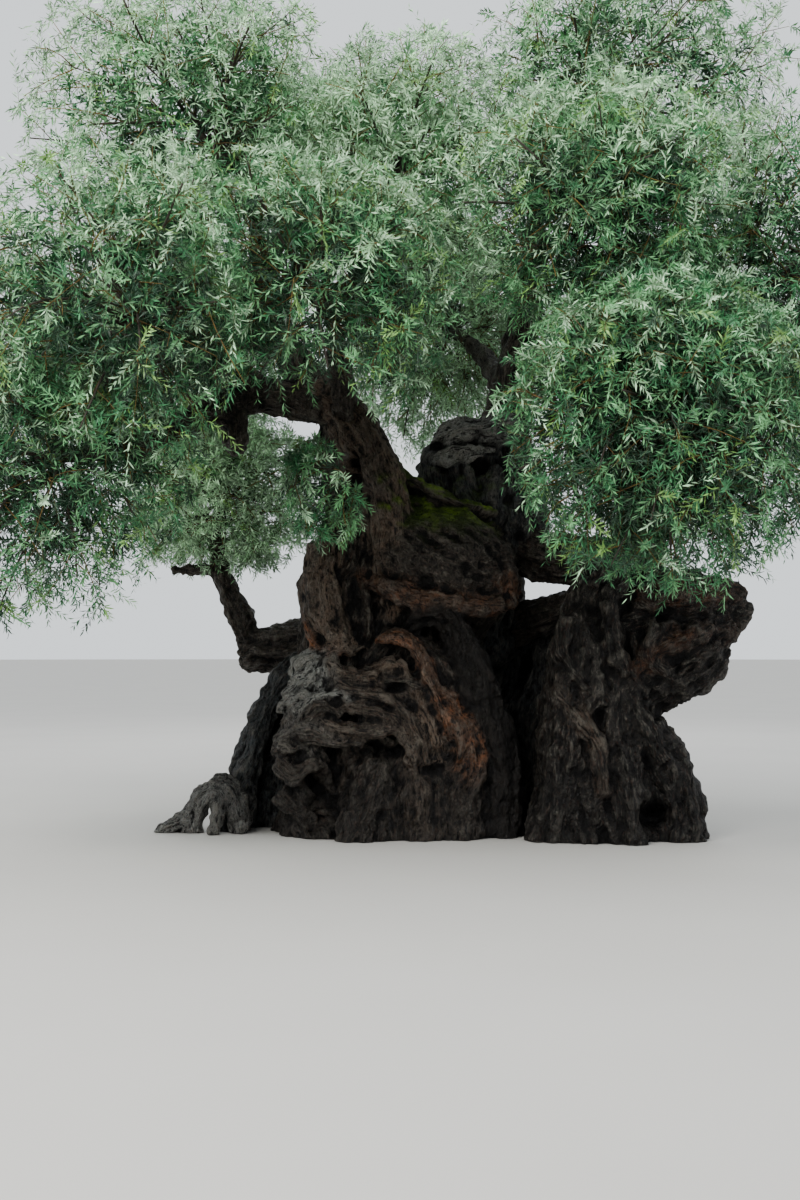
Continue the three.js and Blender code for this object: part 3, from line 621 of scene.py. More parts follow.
def mark_of(stain, piece_name, places, near, blend):
    """How much of a mark each place has, be it a stain or the painted shade: full on the limbs that bear it,
    less on the faint ones.
    """
    mask = np.zeros(len(places))
    for kind, strength, border in ((stain, 1.0, BORDER), (f"{stain}_faint", FAINT, FAINT_BORDER)):
        if kind in near:
            others = [distance for other, distance in near.items() if other != kind]
            rest = np.min(others + [np.full(len(places), FAR_OFF)], axis=0)
            mask = np.maximum(mask, strength * ease((rest - near[kind]) / border + blend))
    start, grows = FADES.get(piece_name, {}).get(stain, NO_FADE)
    mask *= ease((places[:, 2] - start) / grows)
    # The painted shade mark also darkens the foot of the trunks
    if stain == "char":
        darker_foot = DARKER_FOOT.get(piece_name, 0.0) * ease((DARKER_FOOT_HEIGHT - places[:, 2]) / DARKER_FOOT_FADES)
        mask = np.maximum(mask, darker_foot)
    return mask


def moss_on(piece_name, places, facing, seed):
    """Moss on what faces up, in tufts round its middle on the saddle."""
    off = np.linalg.norm((places - MOSS_MIDDLE) / MOSS_SHAPE, axis=1)
    moss = ease((MOSS_REACH - off) / 0.25 + 0.5 * noise(places / 0.12, seed)) * ease((facing - 0.1) / 0.4)
    return moss * ((0.3 + 0.7 * ease((places[:, 2] - MOSS_THICK_FROM) / 0.2)) * MOSSY.get(piece_name, 1.0))


def carve(piece, strands, seed):
    """Fine relief along the grain of each strand, and the marks that the finishes read."""
    mesh = piece.data
    places, normals = coordinates(mesh), outward(mesh)
    grain, clear, near = nearest_strands(places, strands)
    places = places + normals * relief(piece.name, places, grain, clear, near, seed)[:, None]
    mesh.vertices.foreach_set("co", places.astype(np.float32).ravel())
    mesh.update()
    give(mesh, "grain", grain)
    deep = cavity(mesh, places)
    # The crease mark paints shade into the creases and where strands meet
    give(mesh, "crease_shade", np.maximum(ease(deep / DEEP), 0.2 * (1 - ease(clear / 0.02))))
    # The ridge mark lightens the ridges with dust and painted highlight
    give(mesh, "ridge", ease(-deep / HIGH))
    give(mesh, "proud", ease(clear / CLEAR_OF_NEXT))
    blend = 0.5 + noise(places / 0.07, seed + 5) * 0.35
    for stain in MARKS:
        give(mesh, stain, mark_of(stain, piece.name, places, near, blend))
    give(mesh, "moss", moss_on(piece.name, places, outward(mesh)[:, 2], seed + 6))


def cut_at_ground(piece):
    """Cuts the piece flat at the ground and closes the cut."""
    if coordinates(piece.data)[:, 2].min() > 0:
        return
    only(piece)
    bpy.ops.object.mode_set(mode="EDIT")
    bpy.ops.mesh.select_all(action="SELECT")
    bpy.ops.mesh.bisect(plane_co=(0, 0, 0), plane_no=(0, 0, -1), clear_outer=True, use_fill=True)
    bpy.ops.object.mode_set(mode="OBJECT")


SCRAP_SHARE = 0.04  # share of the largest shell's vertices below which a shell is a scrap


def drop_scraps(piece):
    """Takes away every small shell, such as a bubble that the fusing leaves inside."""
    mesh = piece.data
    one, two = edge_ends(mesh).T
    group = np.arange(len(mesh.vertices))
    while True:
        least = np.minimum(group[one], group[two])
        new = group.copy()
        np.minimum.at(new, one, least)
        np.minimum.at(new, two, least)
        new = new[new]
        if (new == group).all():
            break
        group = new
    names, counts = np.unique(group, return_counts=True)
    small = np.isin(group, names[counts < SCRAP_SHARE * counts.max()])
    if not small.any():
        return
    only(piece)
    mesh.vertices.foreach_set("select", small)
    bpy.ops.object.mode_set(mode="EDIT")
    bpy.ops.mesh.delete(type="VERT")
    bpy.ops.object.mode_set(mode="OBJECT")


def dress(piece, finish, nodes):
    """Gives the piece its finish, hangs it on the root body and hides the solids that it takes the place of.
    """
    piece.data.materials.clear()
    piece.data.materials.append(finish)
    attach(piece, "root")
    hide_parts(*nodes)


def grow_wood(name, forms, nodes, finish, voxel, seed):
    """One piece of wood: strands laid, fused, smoothed, carved and cut flat at the ground."""
    strands = [strand for k, form in enumerate(forms) for strand in strands_of(form, seed * 10 + k)]
    piece = lay_strands(name, strands)
    finish_modifier(piece, "REMESH", mode="VOXEL", voxel_size=voxel, adaptivity=0.0)
    drop_scraps(piece)
    finish_modifier(piece, "SMOOTH", factor=0.5, iterations=4)
    carve(piece, strands, seed)
    cut_at_ground(piece)
    only(piece)
    bpy.ops.object.shade_smooth()
    dress(piece, finish, nodes)


BOUGH_TWIST = 0.9


def boughs(*names):
    """The forms of these boughs, and the nodes that they take the place of."""
    return [dict(BOUGHS[name], twist=BOUGH_TWIST) for name in names], [f"bough_{name}" for name in names]


# ---- Finishes ---------------------------------------------------------------------------------
class Tone:
    """A shader socket that takes part in sums, so that maths on it adds the nodes."""

    def __init__(self, finish, socket):
        self.finish, self.socket = finish, socket

    def _sum(self, operation, first, second):
        return self.finish.node("ShaderNodeMath", {"operation": operation}, {0: first, 1: second})

    def __add__(self, other):
        return self._sum("ADD", self, other)

    def __radd__(self, other):
        return self._sum("ADD", other, self)

    def __sub__(self, other):
        return self._sum("SUBTRACT", self, other)

    def __rsub__(self, other):
        return self._sum("SUBTRACT", other, self)

    def __mul__(self, other):
        return self._sum("MULTIPLY", self, other)

    def __rmul__(self, other):
        return self._sum("MULTIPLY", other, self)

    def between(self, low, high):
        """0 below low, 1 above high, and smooth between."""
        values = {"Value": self, "From Min": low, "From Max": high}
        return self.finish.node("ShaderNodeMapRange", {"interpolation_type": "SMOOTHSTEP"}, values)


class Finish:
    """A material made of nodes, with one method that adds any node."""

    def __init__(self, name):
        self.material = bpy.data.materials.new(name)
        self.material.use_nodes = True
        self.tree = self.material.node_tree
        self.shader = self.tree.nodes["Principled BSDF"]

    def set(self, socket, value):
        if isinstance(value, Tone):
            self.tree.links.new(value.socket, socket)
        else:
            socket.default_value = value

    def node(self, kind, settings=None, values=None, output=0):
        made = self.tree.nodes.new(kind)
        for key, value in (settings or {}).items():
            setattr(made, key, value)
        for key, value in (values or {}).items():
            self.set(made.inputs[key], value)
        return Tone(self, made.outputs[output])

    def place(self):
        return self.node("ShaderNodeTexCoord", output="Object")

    def mark(self, name, output="Fac"):
        return self.node("ShaderNodeAttribute", {"attribute_name": name}, output=output)

    def stretched(self, vector, along):
        """The vector with its third part, the way the wood grows, drawn out."""
        values = {0: vector, 1: (1.0, 1.0, along)}
        return self.node("ShaderNodeVectorMath", {"operation": "MULTIPLY"}, values)

    def grainy(self, vector, scale, detail=3.0, rough=0.55):
        values = {"Vector": vector, "Scale": scale, "Detail": detail, "Roughness": rough}
        return self.node("ShaderNodeTexNoise", {}, values)

    def mix(self, share, first, second):
        """The first colour, turned into the second by a share; the inputs of a colour mix have no names."""
        return self.node("ShaderNodeMix", {"data_type": "RGBA"}, {0: share, 6: first, 7: second}, output=2)

    def bump(self, height, strength, distance, normal=None):
        values = {"Height": height, "Strength": strength, "Distance": distance}
        if normal is not None:
            values["Normal"] = normal
        return self.node("ShaderNodeBump", {}, values)

    def wear(self, **values):
        """Sets the shader's own sockets by their names in lower case."""
        for key, value in values.items():
            self.set(self.shader.inputs[key.replace("_", " ").title()], value)
        return self.material


def shade(colour, by=1.0):
    return (colour[0] * by, colour[1] * by, colour[2] * by, 1.0)


@lru_cache(maxsize=None)
def bark_finish(name):
    """Damp fibrous bark with warm, orange, pale and mossy places, painted shade in its creases and on the
    side that recedes into the hollow, dust and painted highlight on its ridges, and a darker foot.
    """
    look = bpy.context.scene.olive_bark
    base = getattr(look, name)
    f = Finish(name.replace("_", " "))
    place, grain = f.place(), f.mark("grain", "Vector")
    patches = f.grainy(place, 2.4, 4.0)
    fibres = f.grainy(f.stretched(grain, 0.20), 52.0, 5.0, 0.70)
    flakes = f.grainy(f.stretched(grain, 0.45), 50.0, 3.0, 0.6)
    specks = f.grainy(f.stretched(place, 0.5), 66.0, 4.0, 0.70)
    # The stains, uneven from place to place
    colour = f.mix(patches.between(0.35, 0.68), shade(base, 0.66), shade(base, 1.35))
    colour = f.mix(f.mark("warm") * (0.35 + 0.65 * patches.between(0.3, 0.7)), colour, shade(look.warm))
    colour = f.mix(f.mark("pale") * (0.6 + 0.4 * patches.between(0.3, 0.6)), colour, shade(look.pale))
    worn = f.grainy(place, 7.0, 3.0).between(0.42, 0.62)
    colour = f.mix(f.mark("rope") * (0.3 + 0.7 * worn), colour, shade(look.rope))
    # Flakes of rust and lichen
    colour = f.mix(flakes.between(0.52, 0.62) * 0.5, colour, f.mix(0.5, colour, shade(look.rust)))
    bare = 1 - flakes.between(0.38, 0.48)
    colour = f.mix(bare * 0.5, colour, f.mix(0.5, colour, shade(look.lichen)))
    # Dry fibre tips, and dust with painted highlight on the ridges; wet pits, and painted shade in the
    # creases
    tips = fibres.between(0.52, 0.60) * 0.75 + specks.between(0.55, 0.63) * 0.45
    dust_and_highlight = tips + f.mark("ridge") * (0.3 + 0.5 * patches.between(0.3, 0.6))
    dust_and_highlight_tone = f.mix(0.25, shade(look.tips_and_highlight), colour)
    colour = f.mix(dust_and_highlight.between(0.0, 1.2) * (0.75 - 0.5 * f.mark("char")), colour, dust_and_highlight_tone)
    pits = (1 - fibres.between(0.40, 0.49)) * 0.8 + (1 - specks.between(0.38, 0.48)) * 0.5
    # Painted shade in the creases, and the dark wet pits
    shade_and_pits = f.mark("crease_shade") * 0.95 + pits
    colour = f.mix(shade_and_pits.between(0.0, 1.1), colour, shade(look.crevice_and_shade))
    # Painted shade on the side that recedes into the hollow, and the darker foot
    colour = f.mix(f.mark("char") * 0.75, colour, shade(look.crevice_and_shade))
    # Moss in tufts, over everything else
    tufts = f.grainy(place, 60.0, 4.0).between(0.3, 0.6)
    mossy = f.mix(worn, shade(look.moss, 0.35), shade(look.moss))
    colour = f.mix(f.mark("moss") * (0.5 + 0.5 * tufts), colour, mossy)
    coarse = f.bump(f.grainy(f.stretched(place, 0.6), 24.0, 4.0, 0.6), 1.0, 0.06)
    height = f.mark("proud") * (fibres + 0.6 * flakes) + 0.8 * specks + 0.4 * tufts * f.mark("moss")
    damp = f.grainy(place, 5.0, 2.0).between(0.35, 0.65)
    return f.wear(base_color=colour, roughness=0.66 - 0.30 * damp * (1 - f.mark("moss")),
                  normal=f.bump(height, 1.0, 0.045, coarse))


@lru_cache(maxsize=None)
def twig_finish(name, colour, tip):
    """Smooth young bark, greyer and redder by turns."""
    f = Finish(name)
    tone = f.grainy(f.place(), 9.0, 2.0).between(0.3, 0.7)
    fleck = f.grainy(f.place(), 140.0, 2.0)
    mixed = f.mix(tone, shade(colour), shade(tip))
    return f.wear(base_color=f.mix(fleck.between(0.45, 0.7) * 0.4, mixed, shade(colour, 0.4)),
                  roughness=0.6 + 0.2 * tone, normal=f.bump(fleck, 0.3, 0.001))


RIB_COLOUR = (0.42, 0.54, 0.40)


@lru_cache(maxsize=None)
def leaf_finish(name, colour):
    """A leathery leaf: lighter along its midrib, and uneven from leaf to leaf and from spray to spray."""
    f = Finish(name)
    spray = f.grainy(f.place(), 2.2, 2.0).between(0.3, 0.7)
    leaf = f.grainy(f.place(), 17.0, 1.0).between(0.3, 0.7)
    tone = f.mix(spray, f.mix(leaf, shade(colour, 0.35), shade(colour, 1.05)),
                 f.mix(leaf, shade(colour, 0.75), shade(colour, 1.75)))
    side = f.mark("side")
    rib = 1 - (side * side).between(0.0, 0.05)
    tone = f.mix(rib * 0.35, tone, shade(RIB_COLOUR))
    return f.wear(base_color=tone, roughness=0.34 + 0.16 * leaf, normal=f.bump(rib, 0.4, 0.0008))


# ---- Foliage: branches, twigs, shoots and leaves ----------------------------------------------
BRANCHES = 28  # in a mass of usual size
TWIGS = 8  # on each branch
SHOOTS = 6  # on each twig
LEAF_PAIRS = 11  # on each shoot
USUAL_SIZE = 1.45  # mean reach of a mass that is neither large nor small
# How much denser than the rest these masses grow
THICKER = dict(left_inner=1.35, right_front=2.3, middle_rear=1.6, low_rise=1.8, left_low=1.15,
               right_inner=1.6, neck_front=0.9, top_middle=1.15, left_rear=1.35, left_top=1.1,
               left_far=0.75, right_far=0.75, top_rear=0.7, right_rear=0.65)
# How deep the dips in a mass's outside are, as a share of its reach
DIP = 0.10
DIPS = dict(left_far=0.28, left_rear=0.22, low_rise=0.12, top_rear=0.34, middle_rear=0.22, right_rear=0.36,
            right_far=0.30, left_top=0.12, right_top=0.12, right_front=0.05, neck_front=0.12)
TURNED_DIP = 0.42  # how much deeper the dips get on the sides turned away and up
SWELLS = ((1.0, 2.3), (0.5, 5.1))  # height of each pattern of swells and dips, and how often it comes round
TOP_FROM = 0.4  # how steeply up a place faces before it counts as turned away
OPEN_FROM = 0.15  # how much nearer than the room's own edge a neighbour's wall is where the two fully meet
MEETING = 0.08  # how far the foliage reaches into its neighbour's room where two masses meet
TWIGS_FILL = 0.93  # share of the room that the twigs may fill
WISPS = (0.93, 0.12)  # the same for every shoot, and how much more the longest ones may fill
# Lengths and widths in metres, each as the least and how much more at most
LEAVE_STEM = (0.35, 0.6)  # where on the stem the branches leave it, as shares of its length
BRANCH_REACH = (0.70, 0.2)  # how far towards the edge of the foliage they go
BRANCH_WIDTH, TWIG_WIDTH, SHOOT_WIDTH = (0.010, 0.009), (0.0042, 0.002), (0.0016, 0.0008)
TWIG_LENGTH, SHOOT_LENGTH = (0.34, 0.34), (0.20, 0.34)
LEAF_LENGTH = (0.72, 0.45)  # as shares of a full-grown leaf
LEAST_TWIG, LEAST_SHOOT = 0.10, 0.08  # shorter ones are left out
BRANCH_BEND, TWIG_BEND, SHOOT_BEND = 0.10, 0.03, 0.012  # how far a curve's middle strays
BRANCH_ARCH, TWIG_ARCH, SHOOT_ARCH = 0.12, 0.03, 0.015  # how far it is lifted
SHOOT_NOD = 0.02  # how far a shoot's tip sinks
TWIGS_RISE, SHOOTS_RISE = 0.30, 0.30  # how far twigs and shoots turn up high in a mass, and down low in it
SHOOTS_HANG = 0.12  # how far every shoot hangs
SHOOTS_LIE = 0.75  # how far the outer shoots lie along the face of their mass
AT_TIP = 0.93  # share of a branch or twig past which what grows there goes straight on
INNER_LEAVES = 0.55  # how much larger the leaves grow in the shade
SHOWN_LEAVES = 0.2  # share of the shoots that still hang before a limb that shows
# Limbs that show through the leaves from the front: places along each, and the half width of the opening
OPENINGS = [
    ([(-0.06, -0.62, 2.66), (-0.17, -0.62, 2.95), (-0.40, -0.62, 3.33), (-0.62, -0.60, 3.54)], 0.19),
    ([(-0.75, -0.65, 3.56), (-1.18, -0.80, 3.50), (-1.33, -1.00, 3.28)], 0.15),
    ([(-1.00, -0.56, 4.12), (-1.15, -0.60, 4.65), (-1.19, -0.68, 5.08)], 0.06),
    ([(1.14, -0.03, 5.05), (1.18, -0.06, 5.35)], 0.06),
    ([(0.80, -0.42, 3.20), (0.82, -0.45, 2.70)], 0.11),
]
EYE = (0.0, -12.07, 1.5)  # where one stands to see the front
BOX_SLACK = 0.08  # how far a shoot's tip may stand out of the solids' own box
FOLIAGE_NODES = [f"foliage_{name}" for name in MASSES]
TINY = 1e-6


class Space:
    """The room of one mass: an egg cut by flat walls against its neighbours."""

    def __init__(self, name):
        self.bough, middle, reach = MASSES[name]
        self.middle = np.array(middle) * MILLI
        self.reach = np.array(reach) * MILLI
        self.size = self.reach.mean()
        others = [(np.array(m) * MILLI, np.mean(r) * MILLI) for n, (_, m, r) in MASSES.items() if n != name]
        towards = np.array([m - self.middle for m, _ in others])
        sizes = np.array([s for _, s in others])
        self.normals = unit(towards)
        self.limits = np.linalg.norm(towards, axis=1) * self.size / (self.size + sizes) - SPACE_MARGIN
        self.dips = DIPS.get(name, DIP)
        self.seed = 300 + len(name) + int(abs(middle[0]))
        self.scale = self.size / USUAL_SIZE
        self.count = max(8, round(BRANCHES * self.scale * THICKER.get(name, 1.0)))

    def edge(self, ways):
        """How far the egg itself goes from its middle along each way."""
        return 1 / np.linalg.norm(ways / self.reach, axis=1)

    def along(self, ways):
        """How far the room goes from its middle along each way."""
        towards = ways @ self.normals.T
        walls = np.where(towards > TINY, self.limits / np.maximum(towards, TINY), np.inf)
        return np.minimum(self.edge(ways), walls.min(1))

    def share(self, places):
        """0 at the middle of the room, 1 at its edge."""
        off = places - self.middle
        return np.linalg.norm(off, axis=1) / self.along(unit(off))

    def fill(self, places):
        """How far towards its edge the foliage fills the room, which swells and dips from side to side."""
        way = unit(places - self.middle)
        swell = sum(height * noise(way * often, self.seed + k) for k, (height, often) in enumerate(SWELLS))
        turned = np.clip(np.maximum(way[:, 1], way[:, 2] - TOP_FROM), 0, 1)
        open_air = 1 - ease((self.edge(way) / self.along(way) - 1) / OPEN_FROM)
        dips = (self.dips + TURNED_DIP * turned) * np.clip(0.5 + swell, 0, 1)
        return 1 + MEETING * (1 - open_air) - dips * (0.2 + 0.8 * open_air)

    def lift(self, places):
        """-1 at the bottom of the egg, 1 at its top."""
        return (places[:, 2] - self.middle[2]) / self.reach[2]

    def stem(self):
        """The stem that grows on from the bough's end to the middle of the room."""
        stations = BOUGHS[self.bough]["stations"]
        foot, heading = np.array(stations[-1][:3]) * MILLI, trace(stations, 0.1)[1][-1]
        apart = np.linalg.norm(self.middle - foot)
        mids = [foot, foot + heading * apart * 0.3, foot + (self.middle - foot) * 0.7, self.middle]
        radii = [share * STEM_FIT * stations[-1][3] for share in STEM_SHARES]
        return [(*(mid / MILLI), radius) for mid, radius in zip(mids, radii)]


def bezier(p0, p1, p2, t):
    t = np.asarray(t)[..., None]
    return p0 * (1 - t) ** 2 + 2 * p1 * t * (1 - t) + p2 * t * t


def bezier_way(p0, p1, p2, t):
    t = np.asarray(t)[..., None]
    return unit(2 * (1 - t) * (p1 - p0) + 2 * t * (p2 - p1))


def cross_ways(way):
    """Two directions across each way."""
    helper = np.where(np.abs(way[:, 2:3]) < 0.9, np.array([[0.0, 0, 1]]), np.array([[1.0, 0, 0]]))
    across = unit(np.cross(way, helper))
    return across, np.cross(way, across)


def turned_about(across, other, turn):
    """The direction that lies at a turn between two directions."""
    return across * np.cos(turn)[:, None] + other * np.sin(turn)[:, None]


@lru_cache(maxsize=None)
def limb_places():
    """Places and radii along every limb, which foliage keeps clear of."""
    rows = [trace(form["stations"], 0.1) for form in [*BOUGHS.values(), *LEFT_TRUNK, *STUMP, *RIGHT_TRUNK]]
    return np.concatenate([r[0] for r in rows]), np.concatenate([r[4] for r in rows])


def clear_of_limbs(places, room):
    at, radius = limb_places()
    square = (places**2).sum(1)[:, None] + (at**2).sum(1)[None] - 2 * places @ at.T
    return (np.sqrt(np.maximum(square, 0)) > radius + room).all(1)


def in_an_opening(places):
    """Whether each place hides one of the limbs that show from the front."""
    hides = np.zeros(len(places), bool)
    for path, half in OPENINGS:
        for spot in trace([(*(np.array(p) / MILLI), 50) for p in path], 0.1)[0]:
            towards = np.array(EYE) - spot
            reach = np.linalg.norm(towards)
            off = places - spot
            ahead = off @ towards / reach
            apart = np.linalg.norm(off - ahead[:, None] * towards / reach, axis=1)
            hides |= (ahead > 0.1) & (apart < half * (1 - ahead / reach))
    return hides


FIT_ROUNDS, FIT_STEP = 7, 0.78  # how often a tip is drawn back, and to what share of its length


def fitted(space, base, tip, limit):
    """The tip drawn back until it lies within the room and the solids' own box, and whether it could be."""
    least, most = np.array(cad_low) - BOX_SLACK, np.array(cad_high) + BOX_SLACK
    for _ in range(FIT_ROUNDS):
        over = (space.share(tip) > limit * space.fill(tip)) | (tip < least).any(1) | (tip > most).any(1)
        if not over.any():
            break
        tip = np.where(over[:, None], base + (tip - base) * FIT_STEP, tip)
    return tip, ~over


def varied(dice, count, least, more):
    """Numbers by chance, from the least to that much more."""
    return least + more * dice.random(count)


def arched(dice, base, tip, bend, arch):
    """The middle of a curve from base to tip, which strays a little and is lifted."""
    return (base + tip) / 2 + dice.normal(0, bend, base.shape) + (0, 0, arch)


def grow_branches(space, dice, number):
    """Branches that leave the stem and go out all round the room."""
    stem = trace(space.stem(), 0.05)[0]
    count = space.count
    i = np.arange(count)
    rise = 1 - (2 * i + 1) / count
    turn = i * GOLDEN_TURN + number
    flat = np.sqrt(1 - rise**2)
    way = np.column_stack([flat * np.cos(turn), flat * np.sin(turn), rise])
    start = stem[(varied(dice, count, *LEAVE_STEM) * (len(stem) - 1)).astype(int)]
    far = space.along(way) * space.fill(space.middle + way)
    tip = space.middle + way * (far * varied(dice, count, *BRANCH_REACH))[:, None]
    middle = start + (tip - start) * 0.5 + dice.normal(0, BRANCH_BEND, (count, 3)) + (0, 0, BRANCH_ARCH)
    ok = clear_of_limbs(bezier(start, middle, tip, np.full(count, 0.7)), 0.02)
    ok &= ~in_an_opening(tip) & ~in_an_opening(bezier(start, middle, tip, np.full(count, 0.6)))
    return start[ok], middle[ok], tip[ok], varied(dice, ok.sum(), *BRANCH_WIDTH)


def sprouts(dice, parents, each, first, spread, least, most):
    """Where the young ones stand on their parents: the share of the parent's length, the place, the parent's
    way there, and a side that turns on from one to the next."""
    count = len(parents[0])
    share = np.tile(np.linspace(first, 1.0, each), count)
    share = np.clip(share + dice.normal(0, spread, len(share)), least, most)
    curves = [np.repeat(places, each, 0) for places in parents]
    base, along = bezier(*curves, share), bezier_way(*curves, share)
    turn = np.tile(np.arange(each) * GOLDEN_TURN, count) + np.repeat(dice.random(count) * ANY_TURN, each)
    return share, base, along, turned_about(*cross_ways(along), turn)


def grow_twigs(space, dice, branches):
    """Twigs all along the branches, which reach out and, high in the mass, up."""
    share, base, along, side = sprouts(dice, branches, TWIGS, 0.28, 0.03, 0.2, 0.995)
    out = unit(base - space.middle + TINY)
    end = (share > AT_TIP)[:, None]
    heading = unit(along * np.where(end, 1.2, 0.55) + side * np.where(end, 0.15, 0.95) + out * 0.35)
    heading[:, 2] += TWIGS_RISE * space.lift(base)
    length = varied(dice, len(base), *TWIG_LENGTH) * (0.75 + 0.4 * space.scale)
    tip, ok = fitted(space, base, base + unit(heading) * length[:, None], TWIGS_FILL)
    ok &= clear_of_limbs(tip, 0.03) & (np.linalg.norm(tip - base, axis=1) > LEAST_TWIG)
    ok &= ~in_an_opening(tip)
    base, tip = base[ok], tip[ok]
    return base, arched(dice, base, tip, TWIG_BEND, TWIG_ARCH), tip, varied(dice, len(base), *TWIG_WIDTH)


def grow_shoots(space, dice, twigs):
    """Leafy shoots on the twigs, along the face of the mass, and how far out and up each of them ends."""
    share, base, along, side = sprouts(dice, twigs, SHOOTS, 0.22, 0.04, 0.1, 1.0)
    out = unit(base - space.middle + TINY)
    end = (share > AT_TIP)[:, None]
    heading = unit(along * np.where(end, 1.0, 0.5) + side * np.where(end, 0.5, 0.95))
    flat = SHOOTS_LIE * ease((space.share(base) - 0.5) / 0.3)[:, None]
    heading = heading - flat * out * np.maximum((heading * out).sum(1), 0)[:, None]
    heading[:, 2] += SHOOTS_RISE * space.lift(base) - SHOOTS_HANG
    length = varied(dice, len(base), *SHOOT_LENGTH)
    limit = WISPS[0] + WISPS[1] * dice.random(len(base)) ** 2  # few are long
    tip, ok = fitted(space, base, base + unit(heading) * length[:, None], limit)
    ok &= clear_of_limbs(tip, 0.04) & clear_of_limbs(base, 0.01)
    ok &= np.linalg.norm(tip - base, axis=1) > LEAST_SHOOT
    ok &= ~in_an_opening(tip) & ~in_an_opening(base) | (dice.random(len(base)) < SHOWN_LEAVES)
    base, tip = base[ok], tip[ok]
    middle = arched(dice, base, tip, SHOOT_BEND, SHOOT_ARCH)
    tip = tip - (0, 0, SHOOT_NOD)
    width = varied(dice, len(base), *SHOOT_WIDTH)
    return base, middle, tip, width, space.share(tip) / space.fill(tip), space.lift(tip)


@lru_cache(maxsize=None)
def crown():
    """Every branch, twig and shoot, grown mass by mass from the stems, and which mass each shoot is of."""
    grown = {"branch": [], "twig": [], "shoot": []}
    for number, name in enumerate(MASSES, 1):
        space, dice = Space(name), np.random.default_rng(number)
        branches = grow_branches(space, dice, number)
        twigs = grow_twigs(space, dice, branches[:3])
        shoots = grow_shoots(space, dice, twigs[:3])
        grown["branch"].append(branches)
        grown["twig"].append(twigs)
        grown["shoot"].append((*shoots, np.full(len(shoots[0]), number)))
    return {kind: [np.concatenate(part) for part in zip(*rows)] for kind, rows in grown.items()}


def leaves_on(shoots, full_length):
    """Opposite pairs of leaves along every shoot: base, way, face, length and curl of each, and its shoot."""
    p0, p1, p2, _, rim, _, _ = shoots
    dice = np.random.default_rng(77)
    count = len(p0)
    pair = np.tile(np.repeat(np.arange(LEAF_PAIRS), 2), count)
    twin = np.tile([0, 1], LEAF_PAIRS * count)
    owner = np.repeat(np.arange(count), LEAF_PAIRS * 2)
    share = np.clip((pair + 0.75) / LEAF_PAIRS + dice.normal(0, 0.015, len(pair)), 0.02, 1.0)
    curves = p0[owner], p1[owner], p2[owner]
    base, along = bezier(*curves, share), bezier_way(*curves, share)
    turn = pair * (math.pi / 2) + twin * math.pi + (dice.random(count) * ANY_TURN)[owner]
    turn = turn + dice.normal(0, 0.25, len(turn))
    side = turned_about(*cross_ways(along), turn)
    lean = 0.55 + 0.75 * share + dice.normal(0, 0.12, len(share))
    way = unit(along * lean[:, None] + side + (0, 0, -0.05))
    length = full_length * varied(dice, len(pair), *LEAF_LENGTH) * (1 - 0.3 * share**3)
    length *= 1 + INNER_LEAVES * ease((0.85 - rim) / 0.4)[owner]
    face = unit(along - way * (along * way).sum(1)[:, None] + TINY)
    roll = dice.normal(0, 0.45, len(pair))
    face = unit(turned_about(face, np.cross(way, face), roll))
    return base, way, face, length, dice.normal(0.05, 0.05, len(pair)), owner


def build_mesh(name, places, triangles, marks=None):
    """A mesh from arrays of places and triangles, in metres."""
    mesh = bpy.data.meshes.new(name)
    mesh.vertices.add(len(places))
    mesh.vertices.foreach_set("co", np.ascontiguousarray(places, np.float32).ravel())
    mesh.loops.add(len(triangles) * 3)
    mesh.loops.foreach_set("vertex_index", np.ascontiguousarray(triangles, np.int32).ravel())
    mesh.polygons.add(len(triangles))
    mesh.polygons.foreach_set("loop_start", np.arange(len(triangles), dtype=np.int32) * 3)
    mesh.polygons.foreach_set("use_smooth", np.ones(len(triangles), bool))
    mesh.update(calc_edges=True)
    for key, values in (marks or {}).items():
        give(mesh, key, values)
    piece = bpy.data.objects.new(name, mesh)
    bpy.context.scene.collection.objects.link(piece)
    return piece


def repeated(blades, corners):
    """The same triangles for each of the blades, as places and triangles of one mesh."""
    step = (np.arange(len(blades)) * blades.shape[1])[:, None, None]
    return blades.reshape(-1, 3), (np.array(corners)[None] + step).reshape(-1, 3)


def tube_corners(rings, sides):
    """The triangles of a tube with closed ends, whose places go round ring by ring."""
    corners = []
    for s in range(rings - 1):
        for k in range(sides):
            a, b = s * sides + k, s * sides + (k + 1) % sides
            corners += [(a, b, b + sides), (a, b + sides, a + sides)]
    last = (rings - 1) * sides
    for k in range(1, sides - 1):
        corners += [(0, k + 1, k), (last, last + k, last + k + 1)]
    return corners


def stem_tube(name, sides=8):
    """The stem of a mass as one tapering tube."""
    at, _, across, other, radius, _ = trace(Space(name).stem(), 0.12)
    turns = np.arange(sides) * 2 * math.pi / sides
    spokes = [turned_about(across, other, np.full(len(at), turn)) for turn in turns]
    rings = np.stack([at + radius[:, None] * spoke for spoke in spokes], 1)
    return rings.reshape(-1, 3), np.array(tube_corners(len(at), sides))


def tubes(p0, p1, p2, wide, sides, steps, narrowing):
    """Closed tapering tubes along the curves, as places and triangles."""
    across, _ = cross_ways(unit(p2 - p0))
    rings = []
    for t in np.linspace(0, 1, steps + 1):
        share = np.full(len(p0), t)
        at, way = bezier(p0, p1, p2, share), bezier_way(p0, p1, p2, share)
        first = unit(across - way * (across * way).sum(1)[:, None])
        second = np.cross(way, first)
        radius = (wide + (narrowing * wide - wide) * t)[:, None]
        for k in range(sides):
            turn = 2 * math.pi * k / sides
            rings.append(at + radius * (first * math.cos(turn) + second * math.sin(turn)))
    return repeated(np.stack(rings, 1), tube_corners(steps + 1, sides))


